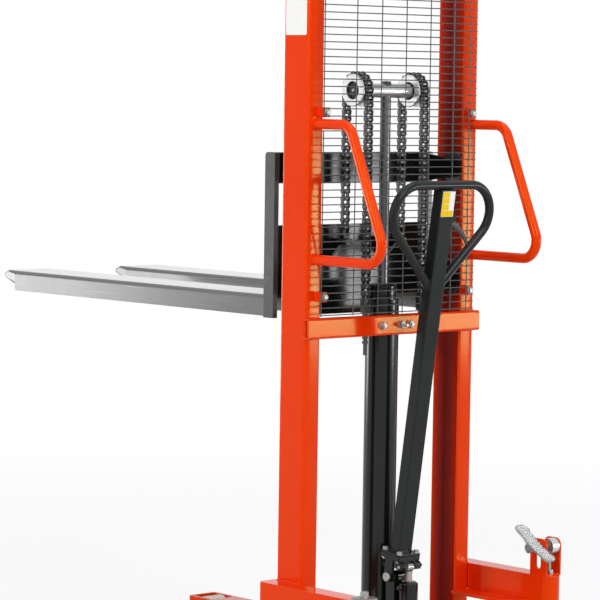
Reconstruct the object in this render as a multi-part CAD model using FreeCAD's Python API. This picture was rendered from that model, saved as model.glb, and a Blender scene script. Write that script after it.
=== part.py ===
import FreeCAD, Part
import math
import os
from FreeCAD import Vector

# Hand pallet stacker, in millimetres. While it is drawn, x = 0 is the mid-plane, y = 0 the middle of the
# masts, z = 0 the floor, and the forks point along +Y. The last section moves the origin to the middle of
# the footprint.

# Masts
MAST_SPAN = 608.0  # outer face to outer face
MAST_DEPTH = 100.0
MAST_FLANGE = 50.0
MAST_WALL = 6.0
MAST_BEND = 8.0  # outer radius of the folded corners
MAST_TOP = 2080.0
FOOT_CLEAR = 24.0  # underside of masts and legs above the floor
TIE_THICK = 8.0

# Base: legs under the forks, outrigger beams for the casters
LEG_TOP = 73.0
LEG_WIDTH = 100.0
LEG_WALL = 6.0
LEG_END = 980.0  # y of the front end
CROSS_BOX_DEPTH = 48.0
BASE_PLATE_THICK = 10.0
BASE_PLATE_REAR = -180.0
BASE_PLATE_CORNER = 30.0
BEAM_TOP = 290.0
BEAM_HEIGHT = 70.0
BEAM_WIDTH = 57.0
BEAM_WALL = 6.0
BEAM_FRONT = 57.0
GUSSET_THICK = 8.0
GUSSET_INNER = 240.0  # x of its inner edge
GUSSET_REAR = -288.0

# Load rollers in the legs
LOAD_ROLLER_RADIUS = 37.0
LOAD_ROLLER_WIDTH = 70.0
LOAD_ROLLER_FROM_END = 54.0
LOAD_AXLE_RADIUS = 8.0

# Swivel casters
CASTER_Y = -326.0
BOSS_RADIUS = 29.0
STEM_RADIUS = 17.0
CASTER_TRAIL = 45.0
WHEEL_RADIUS = 90.0
WHEEL_WIDTH = 50.0
CASTER_AXLE_RADIUS = 8.0
CROWN_RADIUS = 44.0
CROWN_THICK = 10.0
CROWN_DROP = 12.0  # gap between boss and crown
CASTER_CHEEK = 6.0

# Bar across the backs of the masts, and the wire guard above it
BAR_OVERHANG = 4.0  # past the masts' outer faces
BAR_BOTTOM = 930.0
BAR_HEIGHT = 54.0
BAR_DEPTH = 19.0
BAR_WALL = 5.0
BAR_BEND = 6.0
WIRE = 3.0
GUARD_STANDOFF = 25.0  # middle of the cross wires behind the masts
GUARD_LEFT_INSET = 28.0  # ends of the cross wires inside the masts' outer faces
GUARD_RIGHT_INSET = 28.0
GUARD_BOTTOM = 992.0
GUARD_TOP = 2044.0
GUARD_STEP = 19.1
GUARD_UPRIGHT_STEP = 87.5
GUARD_UPRIGHT_MIDDLE = 12.5
GUARD_EDGE_GAP = 7.0  # last upright wire beside the right mast
TAB_ROWS = (2, 27, 51)  # each tab's bolt is above this cross wire
TAB_THICK = 3.0
TAB_HEIGHT = 26.0
TAB_WIDTH = 24.0
TAB_BOLT_INSET = 8.0  # from the masts' inner edges
TAB_BOLT = 3.0

# Push handles
HANDLE_INSET = 26.0  # inside the masts' outer faces
HANDLE_RADIUS = 13.5
HANDLE_TOP = 1487.0
HANDLE_BOTTOM = 1136.0
HANDLE_UPPER_REACH = 132.0  # behind the masts
HANDLE_LOWER_REACH = 284.0
HANDLE_BEND = 49.0

# Hydraulic cylinder
CYL_Y = -14.0
CYL_RADIUS = 44.5
CYL_BORE = 36.0
CYL_TOP = 1013.0
CYL_FOOT_RADIUS = 54.0
CYL_FOOT_THICK = 12.0
GLAND_TOP = 1063.0
GLAND_RADIUS = 38.0
GLAND_COLLAR = 9.0
GLAND_SPIGOT = 22.0
ROD_RADIUS = 14.0
PISTON_LENGTH = 40.0
PISTON_BASE = 575.0
CLAMP_ROD = 5.0  # radius of the clamp round the cylinder

# Crosshead, pulleys and roller chains
PULLEY_Z = 1575.0
PULLEY_X = 100.0
PULLEY_RIM = 43.0
PULLEY_WIDTH = 38.0
PULLEY_FLANGE = 5.0
CROSSHEAD_RADIUS = 16.5
PULLEY_AXLE_RADIUS = 12.0
BEARING_RADIUS = 24.0
BEARING_RECESS = 8.0
AXLE_RECESS = 3.0  # end of the pulleys' axle below their faces
CHAIN_PITCH = 19.05
CHAIN_ROLLER = 5.95
CHAIN_INNER_WIDTH = 12.6
CHAIN_PLATE = 2.4
CHAIN_PLATE_HEIGHT = 17.0
CHAIN_PLATE_OVERHANG = 7.6
LINKS_ON_PULLEY = 7
LINKS_BEHIND = 29
LINKS_IN_FRONT = 20
ANCHOR_ROD = 5.0
ANCHOR_ROD_TAIL = 50.0
ANCHOR_NUT_ACROSS = 14.0

# Fork carriage
FORK_TOP = 1035.0  # as drawn, half way up
FORK_LOWERED = 90.0
FORK_RAISED = 1600.0
FORK_SPACING = 410.0
FORK_WIDTH = 160.0
FORK_SIDE = 57.0
FORK_END = 1259.0
FORK_NOSE = 62.0
FORK_NOSE_NARROWING = 7.0
FORK_NOSE_ROOT = 44.0  # its depth where it leaves the fork
FORK_NOSE_TIP = 12.0  # its depth at the tip
FORK_NOSE_DROP = 9.0  # top of the tip below the fork's top
FORK_NOSE_BROW = 22.0  # length over which the top drops
FORK_TOP_WALL = 8.0
FORK_SIDE_WALL = 6.0
FORK_EDGE = 12.0
UPRIGHT_REAR = 101.0
UPRIGHT_DEPTH = 39.0
UPRIGHT_THICK = 15.0
UPRIGHT_TOP = 1410.0
PLATE_THICK = 12.0
UPPER_PLATE_HEIGHT = 82.0
LOWER_PLATE_TOP = 1218.0
LEG_SLOT_GAP = 15.0
LEG_SLOT_TOP = 1026.0
ROLLER_WIDTH = 30.0
ROLLER_PIN = 12.0
BRACKET_THICK = 12.0
BRACKET_HEIGHT = 82.0
LOWER_BRACKET_BASE = 1030.0
HOOK_THICK = 16.0
HOOK_WIDTH = 30.0

# Tiller and pump; the tiller is drawn upright on its pivot and then leaned back
PIVOT_BEHIND = 33.5  # pivot behind the cylinder's wall
PIVOT_Z = 290.0
TILLER_LEAN = 8.5
TILLER_WIDTH = 47.0
TILLER_DEPTH = 36.0
TILLER_WALL = 3.0
TILLER_EDGE = 3.0
LOOP_TOP = 1054.0  # above the pivot
LOOP_RADIUS = 12.0
LOOP_TOP_HALF = 128.0
LOOP_SHOULDER_HALF = 200.0
LOOP_SHOULDER_DROP = 76.0  # below the loop's top
LOOP_DEPTH = 274.0  # top to root
LOOP_BEND_SHARE = 0.71  # bend radius over the length of the sloping run between two bends
FLANGE_WIDTH = 78.0
FLANGE_DEPTH = 73.0
FLANGE_THICK = 9.0
FLANGE_EDGE = 4.0
FLANGE_BOLT_INSET = 9.0
FLANGE_BOLT = 4.0
YOKE_PLATE_BASE = 50.0
YOKE_LEG = 10.0
YOKE_LEG_HALF_DEPTH = 14.0
PIVOT_PIN = 10.0
PUMP_ROLLER = 10.0
PUMP_ROLLER_PIN = 4.0
PUMP_ROLLER_BACK = 37.0
PUMP_ROLLER_UP = 34.0
PUMP_ROLLER_HALF_WIDTH = 12.0
PUMP_CHEEK = 6.0
PUMP_RADIUS = 25.5
PUMP_TOP = 281.0
PUMP_POST_HALF_WIDTH = 28.0
PUMP_POST_HALF_DEPTH = 16.0
PUMP_BLOCK_TOP = 150.0
PUMP_BLOCK_HALF_WIDTH = 58.0
PLUNGER_RADIUS = 9.5
PLUNGER_LENGTH = 60.0
LEVER_PIVOT_DROP = 87.0  # below the loop's top
LEVER_PIVOT_OUT = 10.0  # beside the tiller
LEVER_LENGTH = 88.0
LEVER_HOOK = 30.0
LEVER_DROP_ANGLE = 25.0
LEVER_THICK = 7.0
LEVER_PIN = 4.0

# Brake on the right caster
BRAKE_Z = 367.0
BRAKE_BACK = -12.0  # shaft behind the caster's stem
BRAKE_SHAFT = 9.0
BRAKE_PLATE = 5.0
BRAKE_HALF_DEPTH = 30.0
BRAKE_HEIGHT = 100.0
PEDAL_WIDTH = 54.0
PEDAL_NEAR = 38.0  # its near edge beside the bracket
PEDAL_THICK = 7.0
PEDAL_RISE_ANGLE = 33.0
PEDAL_FORWARD = 78.0
PEDAL_BACK = 70.0
PEDAL_OFFSET = 7.5
PEDAL_HUB = 14.0
CAM_RADIUS = 22.0
CAM_WIDTH = 24.0
CAM_THROW = -9.0  # its middle in front of the shaft
PUSH_BOLT = 6.0

# Fits and fasteners
RUN = 0.05  # radial clearance of a shaft in its bore
FIT = 0.1  # radial clearance of a fixed pin in its hole
CLEAR = 0.4  # between curved faces that pass each other
NUT_ACROSS = 17.0
NUT_HEIGHT = 8.0
SMALL_BOLT_ACROSS = 13.0
SMALL_BOLT_HEAD = 6.0
SMALL_WASHER = 2.0
STOP_BOLT_X = 18.0
STOP_BOLT_REACH = 26.0

# Values that follow from the sizes above
MAST_OUT = MAST_SPAN / 2
MAST_IN = MAST_OUT - MAST_FLANGE
MAST_BACK = -MAST_DEPTH / 2
MAST_FRONT = MAST_DEPTH / 2
BAR_BACK = MAST_BACK - BAR_DEPTH
BAR_HALF_LENGTH = MAST_OUT + BAR_OVERHANG
GUARD_Y = MAST_BACK - GUARD_STANDOFF
GUARD_LEFT = GUARD_LEFT_INSET - MAST_OUT
GUARD_RIGHT = MAST_OUT - GUARD_RIGHT_INSET
GUARD_EDGE_WIRE = MAST_IN - GUARD_EDGE_GAP
TAB_BOLT_X = MAST_IN + TAB_BOLT_INSET
HANDLE_X = MAST_OUT - HANDLE_INSET
LEG_MIDDLE = FORK_SPACING / 2
CASTER_X = MAST_OUT + BEAM_WIDTH / 2 + 0.5
BEAM_BOTTOM = BEAM_TOP - BEAM_HEIGHT
CROWN_TOP = BEAM_BOTTOM - CROWN_DROP
CASTER_AXLE_Y = CASTER_Y + CASTER_TRAIL
CASTER_HALF_FORK = WHEEL_WIDTH / 2 + 2 + CASTER_CHEEK
LOAD_ROLLER_Y = LEG_END - LOAD_ROLLER_FROM_END
LINK_ANGLE = 180.0 / LINKS_ON_PULLEY
CHAIN_RADIUS = CHAIN_PITCH / (2 * math.sin(math.radians(LINK_ANGLE / 2)))
CHAIN_BACK_Y = CYL_Y - CHAIN_RADIUS
CHAIN_FRONT_Y = CYL_Y + CHAIN_RADIUS
ANCHOR_PIN_Z = PULLEY_Z - LINKS_BEHIND * CHAIN_PITCH
HOOK_PIN_Z = PULLEY_Z - LINKS_IN_FRONT * CHAIN_PITCH
OUTER_PLATE_X = CHAIN_INNER_WIDTH / 2 + CHAIN_PLATE + 2 * FIT
CHAIN_HALF_WIDTH = OUTER_PLATE_X + CHAIN_PLATE
FORK_OUT = (FORK_SPACING + FORK_WIDTH) / 2
UPRIGHT_IN = FORK_OUT - UPRIGHT_THICK
PLATE_FRONT = UPRIGHT_REAR + PLATE_THICK
ROLLER_RADIUS = MAST_DEPTH / 2 - MAST_WALL - CLEAR
ROLLER_MIDDLE_X = MAST_OUT - MAST_WALL - 4 - ROLLER_WIDTH / 2
BRACKET_X = MAST_IN - 5
UPPER_ROLLER_Z = UPRIGHT_TOP - BRACKET_HEIGHT / 2
LOWER_ROLLER_Z = LOWER_BRACKET_BASE + BRACKET_HEIGHT / 2
LOOP_SHOULDER = LOOP_TOP - LOOP_SHOULDER_DROP
LOOP_ROOT = LOOP_TOP - LOOP_DEPTH
LOOP_BEND = LOOP_BEND_SHARE * math.hypot(LOOP_SHOULDER_HALF - LOOP_TOP_HALF, LOOP_SHOULDER_DROP)
LEVER_PIVOT_UP = LOOP_TOP - LEVER_PIVOT_DROP
LEVER_PIVOT_X = TILLER_WIDTH / 2 + LEVER_PIVOT_OUT
TAB_HEIGHTS = [GUARD_BOTTOM + (row + 0.5) * GUARD_STEP for row in TAB_ROWS]
PIVOT_Y = CYL_Y - CYL_RADIUS - PIVOT_BEHIND
LEAN = math.radians(TILLER_LEAN)
PUMP_Y = PIVOT_Y - PUMP_ROLLER_BACK * math.cos(LEAN) - PUMP_ROLLER_UP * math.sin(LEAN)
PUMP_ROLLER_Z = PIVOT_Z - PUMP_ROLLER_BACK * math.sin(LEAN) + PUMP_ROLLER_UP * math.cos(LEAN)
PLUNGER_TOP = PUMP_ROLLER_Z - PUMP_ROLLER - CLEAR
BRAKE_Y = CASTER_Y - BRAKE_BACK
BRAKE_NEAR_X = MAST_OUT
BRAKE_FAR_X = MAST_OUT + BEAM_WIDTH - 1


# Drawing helpers

def run_of_edges(points, closed):
    """Wire through (Vector, radius) points, each corner rounded by an arc tangent to its two runs."""
    count = len(points)
    turns = []
    for index, (here, radius) in enumerate(points):
        at_end = not closed and index in (0, count - 1)
        if at_end or radius == 0:
            turns.append((here, None, here))
            continue
        back = (points[index - 1][0] - here).normalize()
        onward = (points[(index + 1) % count][0] - here).normalize()
        half = back.getAngle(onward) / 2
        reach = radius / math.tan(half)
        bisector = (back + onward).normalize()
        middle = here + bisector * (radius / math.sin(half) - radius)
        turns.append((here + back * reach, middle, here + onward * reach))
    edges = []
    for index, (entry, middle, leaving) in enumerate(turns):
        if middle is not None:
            edges.append(Part.Arc(entry, middle, leaving).toShape())
        if closed or index < count - 1:
            following = turns[(index + 1) % count][0]
            if leaving.distanceToPoint(following) > 1e-6:
                edges.append(Part.LineSegment(leaving, following).toShape())
    return Part.Wire(edges)


def slab(plane, corners, start, end):
    """Plate whose outline has (u, v) or (u, v, radius) corners, from start to end across its plane."""
    points = [(Vector(c[0], c[1], 0), c[2] if len(c) > 2 else 0) for c in corners]
    solid = Part.Face(run_of_edges(points, True)).extrude(Vector(0, 0, end - start))
    if plane == "xy":
        solid.translate(Vector(0, 0, start))
    elif plane == "yz":
        solid.translate(Vector(0, 0, start))
        solid.rotate(Vector(), Vector(1, 1, 1), 120)
    else:
        solid.translate(Vector(0, 0, -end))
        solid.rotate(Vector(), Vector(1, 0, 0), 90)
    return solid


def rectangle(u0, u1, v0, v1, radius=0):
    """Corners of a rectangle with equal corner radii."""
    return [(u0, v0, radius), (u1, v0, radius), (u1, v1, radius), (u0, v1, radius)]


def block(x0, x1, y0, y1, z0, z1):
    return Part.makeBox(x1 - x0, y1 - y0, z1 - z0, Vector(x0, y0, z0))


def bar(axis, radius, start, end, u, v):
    """Round bar along an axis; u and v are its other two coordinates, in x, y, z order."""
    if axis == "x":
        return Part.makeCylinder(radius, end - start, Vector(start, u, v), Vector(1, 0, 0))
    if axis == "y":
        return Part.makeCylinder(radius, end - start, Vector(u, start, v), Vector(0, 1, 0))
    return Part.makeCylinder(radius, end - start, Vector(u, v, start), Vector(0, 0, 1))


def turned(axis, profile, u, v):
    """Body of revolution about an x or z axis, from (radius, place along the axis) points."""
    points = [Vector(radius, 0, along) for radius, along in profile]
    solid = Part.Face(Part.makePolygon(points + points[:1])).revolve(Vector(), Vector(0, 0, 1), 360)
    if axis == "x":
        solid.rotate(Vector(), Vector(1, 1, 1), 120)
        solid.translate(Vector(0, u, v))
    else:
        solid.translate(Vector(u, v, 0))
    return solid


def bent_bar(points, radius):
    """Round bar along (Vector, bend radius) points."""
    path = run_of_edges(points, False)
    start = points[0][0]
    ring = Part.Wire(Part.makeCircle(radius, start, points[1][0] - start))
    return path.makePipeShell([ring], True, False)


def hexagon(axis, across, start, end, u, v):
    """Hexagonal prism, such as a nut or a bolt's head."""
    corner = across / math.sqrt(3)
    angles = [math.radians(60 * side) for side in range(6)]
    ring = [(u + corner * math.cos(a), v + corner * math.sin(a)) for a in angles]
    return slab({"x": "yz", "y": "xz", "z": "xy"}[axis], ring, start, end)


def mirrored(shape):
    return shape.mirror(Vector(), Vector(1, 0, 0))


def pair(shape):
    """A piece and its mirror image on the other side of the machine."""
    return Part.makeCompound([shape, mirrored(shape)])


def leaned(shape):
    """Moves a piece that is drawn upright on the tiller's pivot to its place."""
    shape.translate(Vector(0, PIVOT_Y, PIVOT_Z))
    shape.rotate(Vector(0, PIVOT_Y, PIVOT_Z), Vector(1, 0, 0), TILLER_LEAN)
    return shape


# Masts and base

def mast():
    """Right mast: a folded channel, open towards the other mast."""
    inner = MAST_BEND - MAST_WALL
    web = MAST_OUT - MAST_WALL
    flange = MAST_FRONT - MAST_WALL
    section = [
        (MAST_IN, MAST_BACK), (MAST_OUT, MAST_BACK, MAST_BEND), (MAST_OUT, MAST_FRONT, MAST_BEND),
        (MAST_IN, MAST_FRONT), (MAST_IN, flange), (web, flange, inner), (web, -flange, inner),
        (MAST_IN, -flange),
    ]
    return slab("xy", section, FOOT_CLEAR, MAST_TOP)


def mast_top_tie():
    outline = rectangle(-MAST_OUT, MAST_OUT, MAST_BACK, MAST_FRONT, MAST_BEND)
    return slab("xy", outline, MAST_TOP, MAST_TOP + TIE_THICK)


def base_cross_box():
    """Channel across the fronts of the masts, which carries the legs."""
    back = MAST_FRONT
    front = MAST_FRONT + CROSS_BOX_DEPTH
    shell = block(-MAST_OUT, MAST_OUT, back, front, FOOT_CLEAR, LEG_TOP)
    hollow = block(
        -MAST_OUT + LEG_WALL, MAST_OUT - LEG_WALL, back + LEG_WALL, front - LEG_WALL,
        FOOT_CLEAR - 1, LEG_TOP - LEG_WALL)
    return shell.cut(hollow)


def base_plate():
    """Floor plate between the masts, which carries cylinder and pump."""
    outline = [
        (-MAST_IN, MAST_FRONT), (-MAST_IN, BASE_PLATE_REAR, BASE_PLATE_CORNER),
        (MAST_IN, BASE_PLATE_REAR, BASE_PLATE_CORNER), (MAST_IN, MAST_FRONT)]
    return slab("xy", outline, LEG_TOP - BASE_PLATE_THICK, LEG_TOP)


def leg():
    """Right leg: a channel open below, with a pocket for the load roller through its top."""
    back = MAST_FRONT + CROSS_BOX_DEPTH
    left = LEG_MIDDLE - LEG_WIDTH / 2
    right = LEG_MIDDLE + LEG_WIDTH / 2
    plan = [(left, back), (right, back), (right, LEG_END, 8), (left, LEG_END, 8)]
    shell = slab("xy", plan, FOOT_CLEAR, LEG_TOP)
    hollow = block(
        left + LEG_WALL, right - LEG_WALL, back - 1, LEG_END - LEG_WALL, FOOT_CLEAR - 1, LEG_TOP - LEG_WALL)
    half_pocket = LOAD_ROLLER_WIDTH / 2 + 5
    reach = LOAD_ROLLER_RADIUS + 8
    pocket = slab("xy", rectangle(
        LEG_MIDDLE - half_pocket, LEG_MIDDLE + half_pocket, LOAD_ROLLER_Y - reach, LOAD_ROLLER_Y + reach, 6),
        FOOT_CLEAR, LEG_TOP + 1)
    hole = bar("x", LOAD_AXLE_RADIUS + FIT, left - 1, right + 1, LOAD_ROLLER_Y, LOAD_ROLLER_RADIUS)
    return shell.cut([hollow, pocket, hole])


def load_axle():
    half = LEG_WIDTH / 2
    return bar("x", LOAD_AXLE_RADIUS, LEG_MIDDLE - half, LEG_MIDDLE + half, LOAD_ROLLER_Y, LOAD_ROLLER_RADIUS)


def load_roller():
    half = LOAD_ROLLER_WIDTH / 2
    edge = LOAD_ROLLER_RADIUS - 3
    bore = LOAD_AXLE_RADIUS + RUN
    profile = [
        (bore, -half), (edge, -half), (LOAD_ROLLER_RADIUS, -half + 4), (LOAD_ROLLER_RADIUS, half - 4),
        (edge, half), (bore, half)]
    roller = turned("x", profile, LOAD_ROLLER_Y, LOAD_ROLLER_RADIUS)
    roller.translate(Vector(LEG_MIDDLE, 0, 0))
    return roller


def base_beam():
    """Right outrigger: a channel open below on the mast's side, with the caster's boss at its rear end."""
    outer = MAST_OUT + BEAM_WIDTH
    plan = [(MAST_OUT, CASTER_Y), (outer, CASTER_Y), (outer, BEAM_FRONT, 14), (MAST_OUT, BEAM_FRONT)]
    beam = slab("xy", plan, BEAM_BOTTOM, BEAM_TOP)
    hollow = block(
        MAST_OUT + BEAM_WALL, outer - BEAM_WALL, CASTER_Y + BOSS_RADIUS, BEAM_FRONT - BEAM_WALL,
        BEAM_BOTTOM - 1, BEAM_TOP - BEAM_WALL)
    boss = bar("z", BOSS_RADIUS, BEAM_BOTTOM - 2, BEAM_TOP, CASTER_X, CASTER_Y)
    bore = bar("z", STEM_RADIUS + RUN, BEAM_BOTTOM - 3, BEAM_TOP + 1, CASTER_X, CASTER_Y)
    return beam.cut(hollow).fuse(boss).cut(bore).removeSplitter()


def base_gusset():
    """Plate in the corner between mast and beam, under the beam."""
    outer = MAST_OUT + BEAM_WIDTH - 10
    outline = [
        (GUSSET_INNER, MAST_BACK), (GUSSET_INNER, GUSSET_REAR + 60, 60), (MAST_OUT - 4, GUSSET_REAR, 20),
        (outer, GUSSET_REAR), (outer, MAST_BACK)]
    return slab("xy", outline, BEAM_BOTTOM - GUSSET_THICK, BEAM_BOTTOM)


# Swivel casters

def caster_fork(stem_top):
    """Right caster's fork: a crown with its stem and two cheeks, and the axle between them."""
    collar = bar("z", STEM_RADIUS + 2, CROWN_TOP, BEAM_BOTTOM - 2 - CLEAR, CASTER_X, CASTER_Y)
    stem = bar("z", STEM_RADIUS, CROWN_TOP - CROWN_THICK, stem_top, CASTER_X, CASTER_Y)
    front = CASTER_AXLE_Y + 24
    crown = slab("xy", rectangle(
        CASTER_X - CASTER_HALF_FORK, CASTER_X + CASTER_HALF_FORK, CASTER_Y - CROWN_RADIUS, front, 12),
        CROWN_TOP - CROWN_THICK, CROWN_TOP)
    eye = CASTER_AXLE_RADIUS + 13
    under = CROWN_TOP - CROWN_THICK
    cheek = [
        (CASTER_Y - CROWN_RADIUS + 14, under, 10), (CASTER_AXLE_Y - eye, WHEEL_RADIUS - eye, 16),
        (CASTER_AXLE_Y + eye, WHEEL_RADIUS - eye, 16), (front - 2, under)]
    outer = CASTER_X + CASTER_HALF_FORK
    inner = outer - CASTER_CHEEK
    left = CASTER_X - CASTER_HALF_FORK
    cheeks = [slab("yz", cheek, inner, outer), slab("yz", cheek, left, left + CASTER_CHEEK)]
    fork = crown.fuse([stem, collar] + cheeks).removeSplitter()
    hole = bar("x", CASTER_AXLE_RADIUS + FIT, left - 1, outer + 1, CASTER_AXLE_Y, WHEEL_RADIUS)
    axle = bar("x", CASTER_AXLE_RADIUS, left, outer, CASTER_AXLE_Y, WHEEL_RADIUS)
    return fork.cut(hole), axle


def caster_fork_left():
    fork, axle = caster_fork(BEAM_TOP + CLEAR)
    return mirrored(Part.makeCompound([fork, axle]))


def caster_fork_right():
    fork, axle = caster_fork(BEAM_TOP - 4)
    hole = bar("z", PUSH_BOLT + 1, CROWN_TOP - CROWN_THICK - 1, BEAM_TOP, CASTER_X, CASTER_Y)
    return Part.makeCompound([fork.cut(hole), axle])


def swivel_cap():
    """Washer and bolt on top of the left caster's stem."""
    washer = bar("z", BOSS_RADIUS - 2, BEAM_TOP + CLEAR, BEAM_TOP + CLEAR + 4, -CASTER_X, CASTER_Y)
    head = hexagon("z", NUT_ACROSS + 2, BEAM_TOP + CLEAR + 4, BEAM_TOP + CLEAR + 15, -CASTER_X, CASTER_Y)
    return washer.fuse(head)


def caster_wheel():
    """Right wheel: a crowned tread on a dished web with a wide hub."""
    half = WHEEL_WIDTH / 2
    hub = half + 2 - CLEAR
    tread = WHEEL_RADIUS
    side = [
        (CASTER_AXLE_RADIUS + RUN, hub), (26, hub), (30, half - 8), (tread - 28, half - 8),
        (tread - 24, half), (tread - 5, half), (tread, half - 9)]
    profile = side + [(radius, -along) for radius, along in reversed(side)]
    wheel = turned("x", profile, CASTER_AXLE_Y, WHEEL_RADIUS)
    wheel.translate(Vector(CASTER_X, 0, 0))
    return wheel


# Brake on the right caster

def brake_bracket():
    """Two cheeks on a foot plate; the near cheek is slotted for the shaft, the far one has a round hole."""
    foot_top = BEAM_TOP + BRAKE_PLATE
    rear = BRAKE_Y - BRAKE_HALF_DEPTH
    front = BRAKE_Y + BRAKE_HALF_DEPTH
    top = BEAM_TOP + BRAKE_HEIGHT
    foot = block(BRAKE_NEAR_X, BRAKE_FAR_X, rear, front, BEAM_TOP, foot_top)
    foot = foot.cut(bar("z", PUSH_BOLT + 1, BEAM_TOP - 1, foot_top + 1, CASTER_X, CASTER_Y))
    outline = [(rear, BEAM_TOP), (front, BEAM_TOP), (front, top, 20), (rear, top, 20)]
    near = slab("yz", outline, BRAKE_NEAR_X, BRAKE_NEAR_X + BRAKE_PLATE)
    far = slab("yz", outline, BRAKE_FAR_X - BRAKE_PLATE, BRAKE_FAR_X)
    half = BRAKE_SHAFT + RUN
    slot = slab("yz", rectangle(
        BRAKE_Y - half, BRAKE_Y + half, foot_top + 14, BRAKE_Z + half, half - 0.01),
        BRAKE_NEAR_X - 1, BRAKE_NEAR_X + BRAKE_PLATE + 1)
    hole = bar("x", half, BRAKE_FAR_X - BRAKE_PLATE - 1, BRAKE_FAR_X + 1, BRAKE_Y, BRAKE_Z)
    return foot.fuse([near.cut(slot), far.cut(hole)]).removeSplitter()


def brake_pedal():
    """Rocking pedal on its hub and shaft, drawn level and then tipped up at the front."""
    left = BRAKE_NEAR_X - PEDAL_NEAR
    right = left + PEDAL_WIDTH
    beside = BRAKE_NEAR_X - CLEAR
    clear = math.hypot(BRAKE_HALF_DEPTH, BEAM_TOP + BRAKE_HEIGHT - BRAKE_Z) + 6
    waist = 10
    plan = [
        (left, PEDAL_FORWARD, 12), (left, 30, 20), (left + waist, 14, 16), (left + waist, -14, 16),
        (left, -30, 20), (left, -PEDAL_BACK, 14), (right, -PEDAL_BACK, 14), (right, -clear, 5),
        (beside, -clear, 5), (beside, clear, 5), (right, clear, 5), (right, PEDAL_FORWARD, 12)]
    plate = slab("xy", plan, PEDAL_OFFSET, PEDAL_OFFSET + PEDAL_THICK)
    hub = bar("x", PEDAL_HUB, left, beside, 0, 0)
    shaft = bar("x", BRAKE_SHAFT, left, BRAKE_FAR_X, 0, 0)
    pedal = plate.fuse([hub, shaft]).removeSplitter()
    pedal.rotate(Vector(), Vector(1, 0, 0), PEDAL_RISE_ANGLE)
    pedal.translate(Vector(0, BRAKE_Y, BRAKE_Z))
    return pedal


def brake_cam():
    """Eccentric steel drum on the shaft over the push bolt."""
    start = CASTER_X - 4
    end = start + CAM_WIDTH
    drum = bar("x", CAM_RADIUS, start, end, BRAKE_Y + CAM_THROW, BRAKE_Z)
    recess = bar("x", CAM_RADIUS - 3, start - 1, start + 3, BRAKE_Y + CAM_THROW, BRAKE_Z)
    core = bar("x", BRAKE_SHAFT + FIT, start - 1, end + 1, BRAKE_Y, BRAKE_Z)
    return drum.cut([recess, core])


def brake_push_bolt():
    """Bolt through the hollow stem that the drum holds down on the tread; it rises as the drum turns."""
    tread = WHEEL_RADIUS + math.sqrt(WHEEL_RADIUS ** 2 - (CASTER_TRAIL - PUSH_BOLT) ** 2)
    top = BRAKE_Z - CAM_RADIUS - CLEAR
    shank = bar("z", PUSH_BOLT, tread + CLEAR, top, CASTER_X, CASTER_Y)
    collar_base = BEAM_TOP + BRAKE_PLATE + CLEAR
    collar = hexagon("z", NUT_ACROSS + 4, collar_base, collar_base + 10, CASTER_X, CASTER_Y)
    return shank.fuse(collar).removeSplitter()


# Bar, guard and handles at the back of the masts

def cross_bar():
    """Folded channel across the masts, notched for the cylinder and drilled for clamp and chain rods."""
    top = BAR_BOTTOM + BAR_HEIGHT
    web = BAR_BACK + BAR_WALL
    inner = BAR_BEND - BAR_WALL
    section = [
        (MAST_BACK, BAR_BOTTOM), (MAST_BACK, BAR_BOTTOM + BAR_WALL), (web, BAR_BOTTOM + BAR_WALL, inner),
        (web, top - BAR_WALL, inner), (MAST_BACK, top - BAR_WALL), (MAST_BACK, top),
        (BAR_BACK, top, BAR_BEND), (BAR_BACK, BAR_BOTTOM, BAR_BEND)]
    channel = slab("yz", section, -BAR_HALF_LENGTH, BAR_HALF_LENGTH)
    cuts = [bar("z", CYL_RADIUS + CLEAR, BAR_BOTTOM - 1, top + 1, 0, CYL_Y)]
    middle = BAR_BOTTOM + BAR_HEIGHT / 2
    for x in (-clamp_radius(), STOP_BOLT_X, clamp_radius()):
        cuts.append(bar("y", CLAMP_ROD + FIT, BAR_BACK - 1, MAST_BACK, x, middle))
    for x in (-PULLEY_X, PULLEY_X):
        cuts.append(bar("z", ANCHOR_ROD + FIT, BAR_BOTTOM - 1, top + 1, x, CHAIN_BACK_Y))
    return channel.cut(cuts)


def clamp_radius():
    return CYL_RADIUS + CLAMP_ROD + FIT


def cylinder_clamp():
    """Round bar bent about the cylinder, with its ends through the cross bar."""
    reach = clamp_radius()
    z = BAR_BOTTOM + BAR_HEIGHT / 2
    end = BAR_BACK - NUT_HEIGHT - 6
    left = Vector(-reach, CYL_Y, z)
    right = Vector(reach, CYL_Y, z)
    left_end = Vector(-reach, end, z)
    path = [
        Part.LineSegment(left_end, left).toShape(),
        Part.Arc(left, Vector(0, CYL_Y + reach, z), right).toShape(),
        Part.LineSegment(right, Vector(reach, end, z)).toShape()]
    ring = Part.Wire(Part.makeCircle(CLAMP_ROD, left_end, Vector(0, 1, 0)))
    return Part.Wire(path).makePipeShell([ring], True, False)


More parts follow.
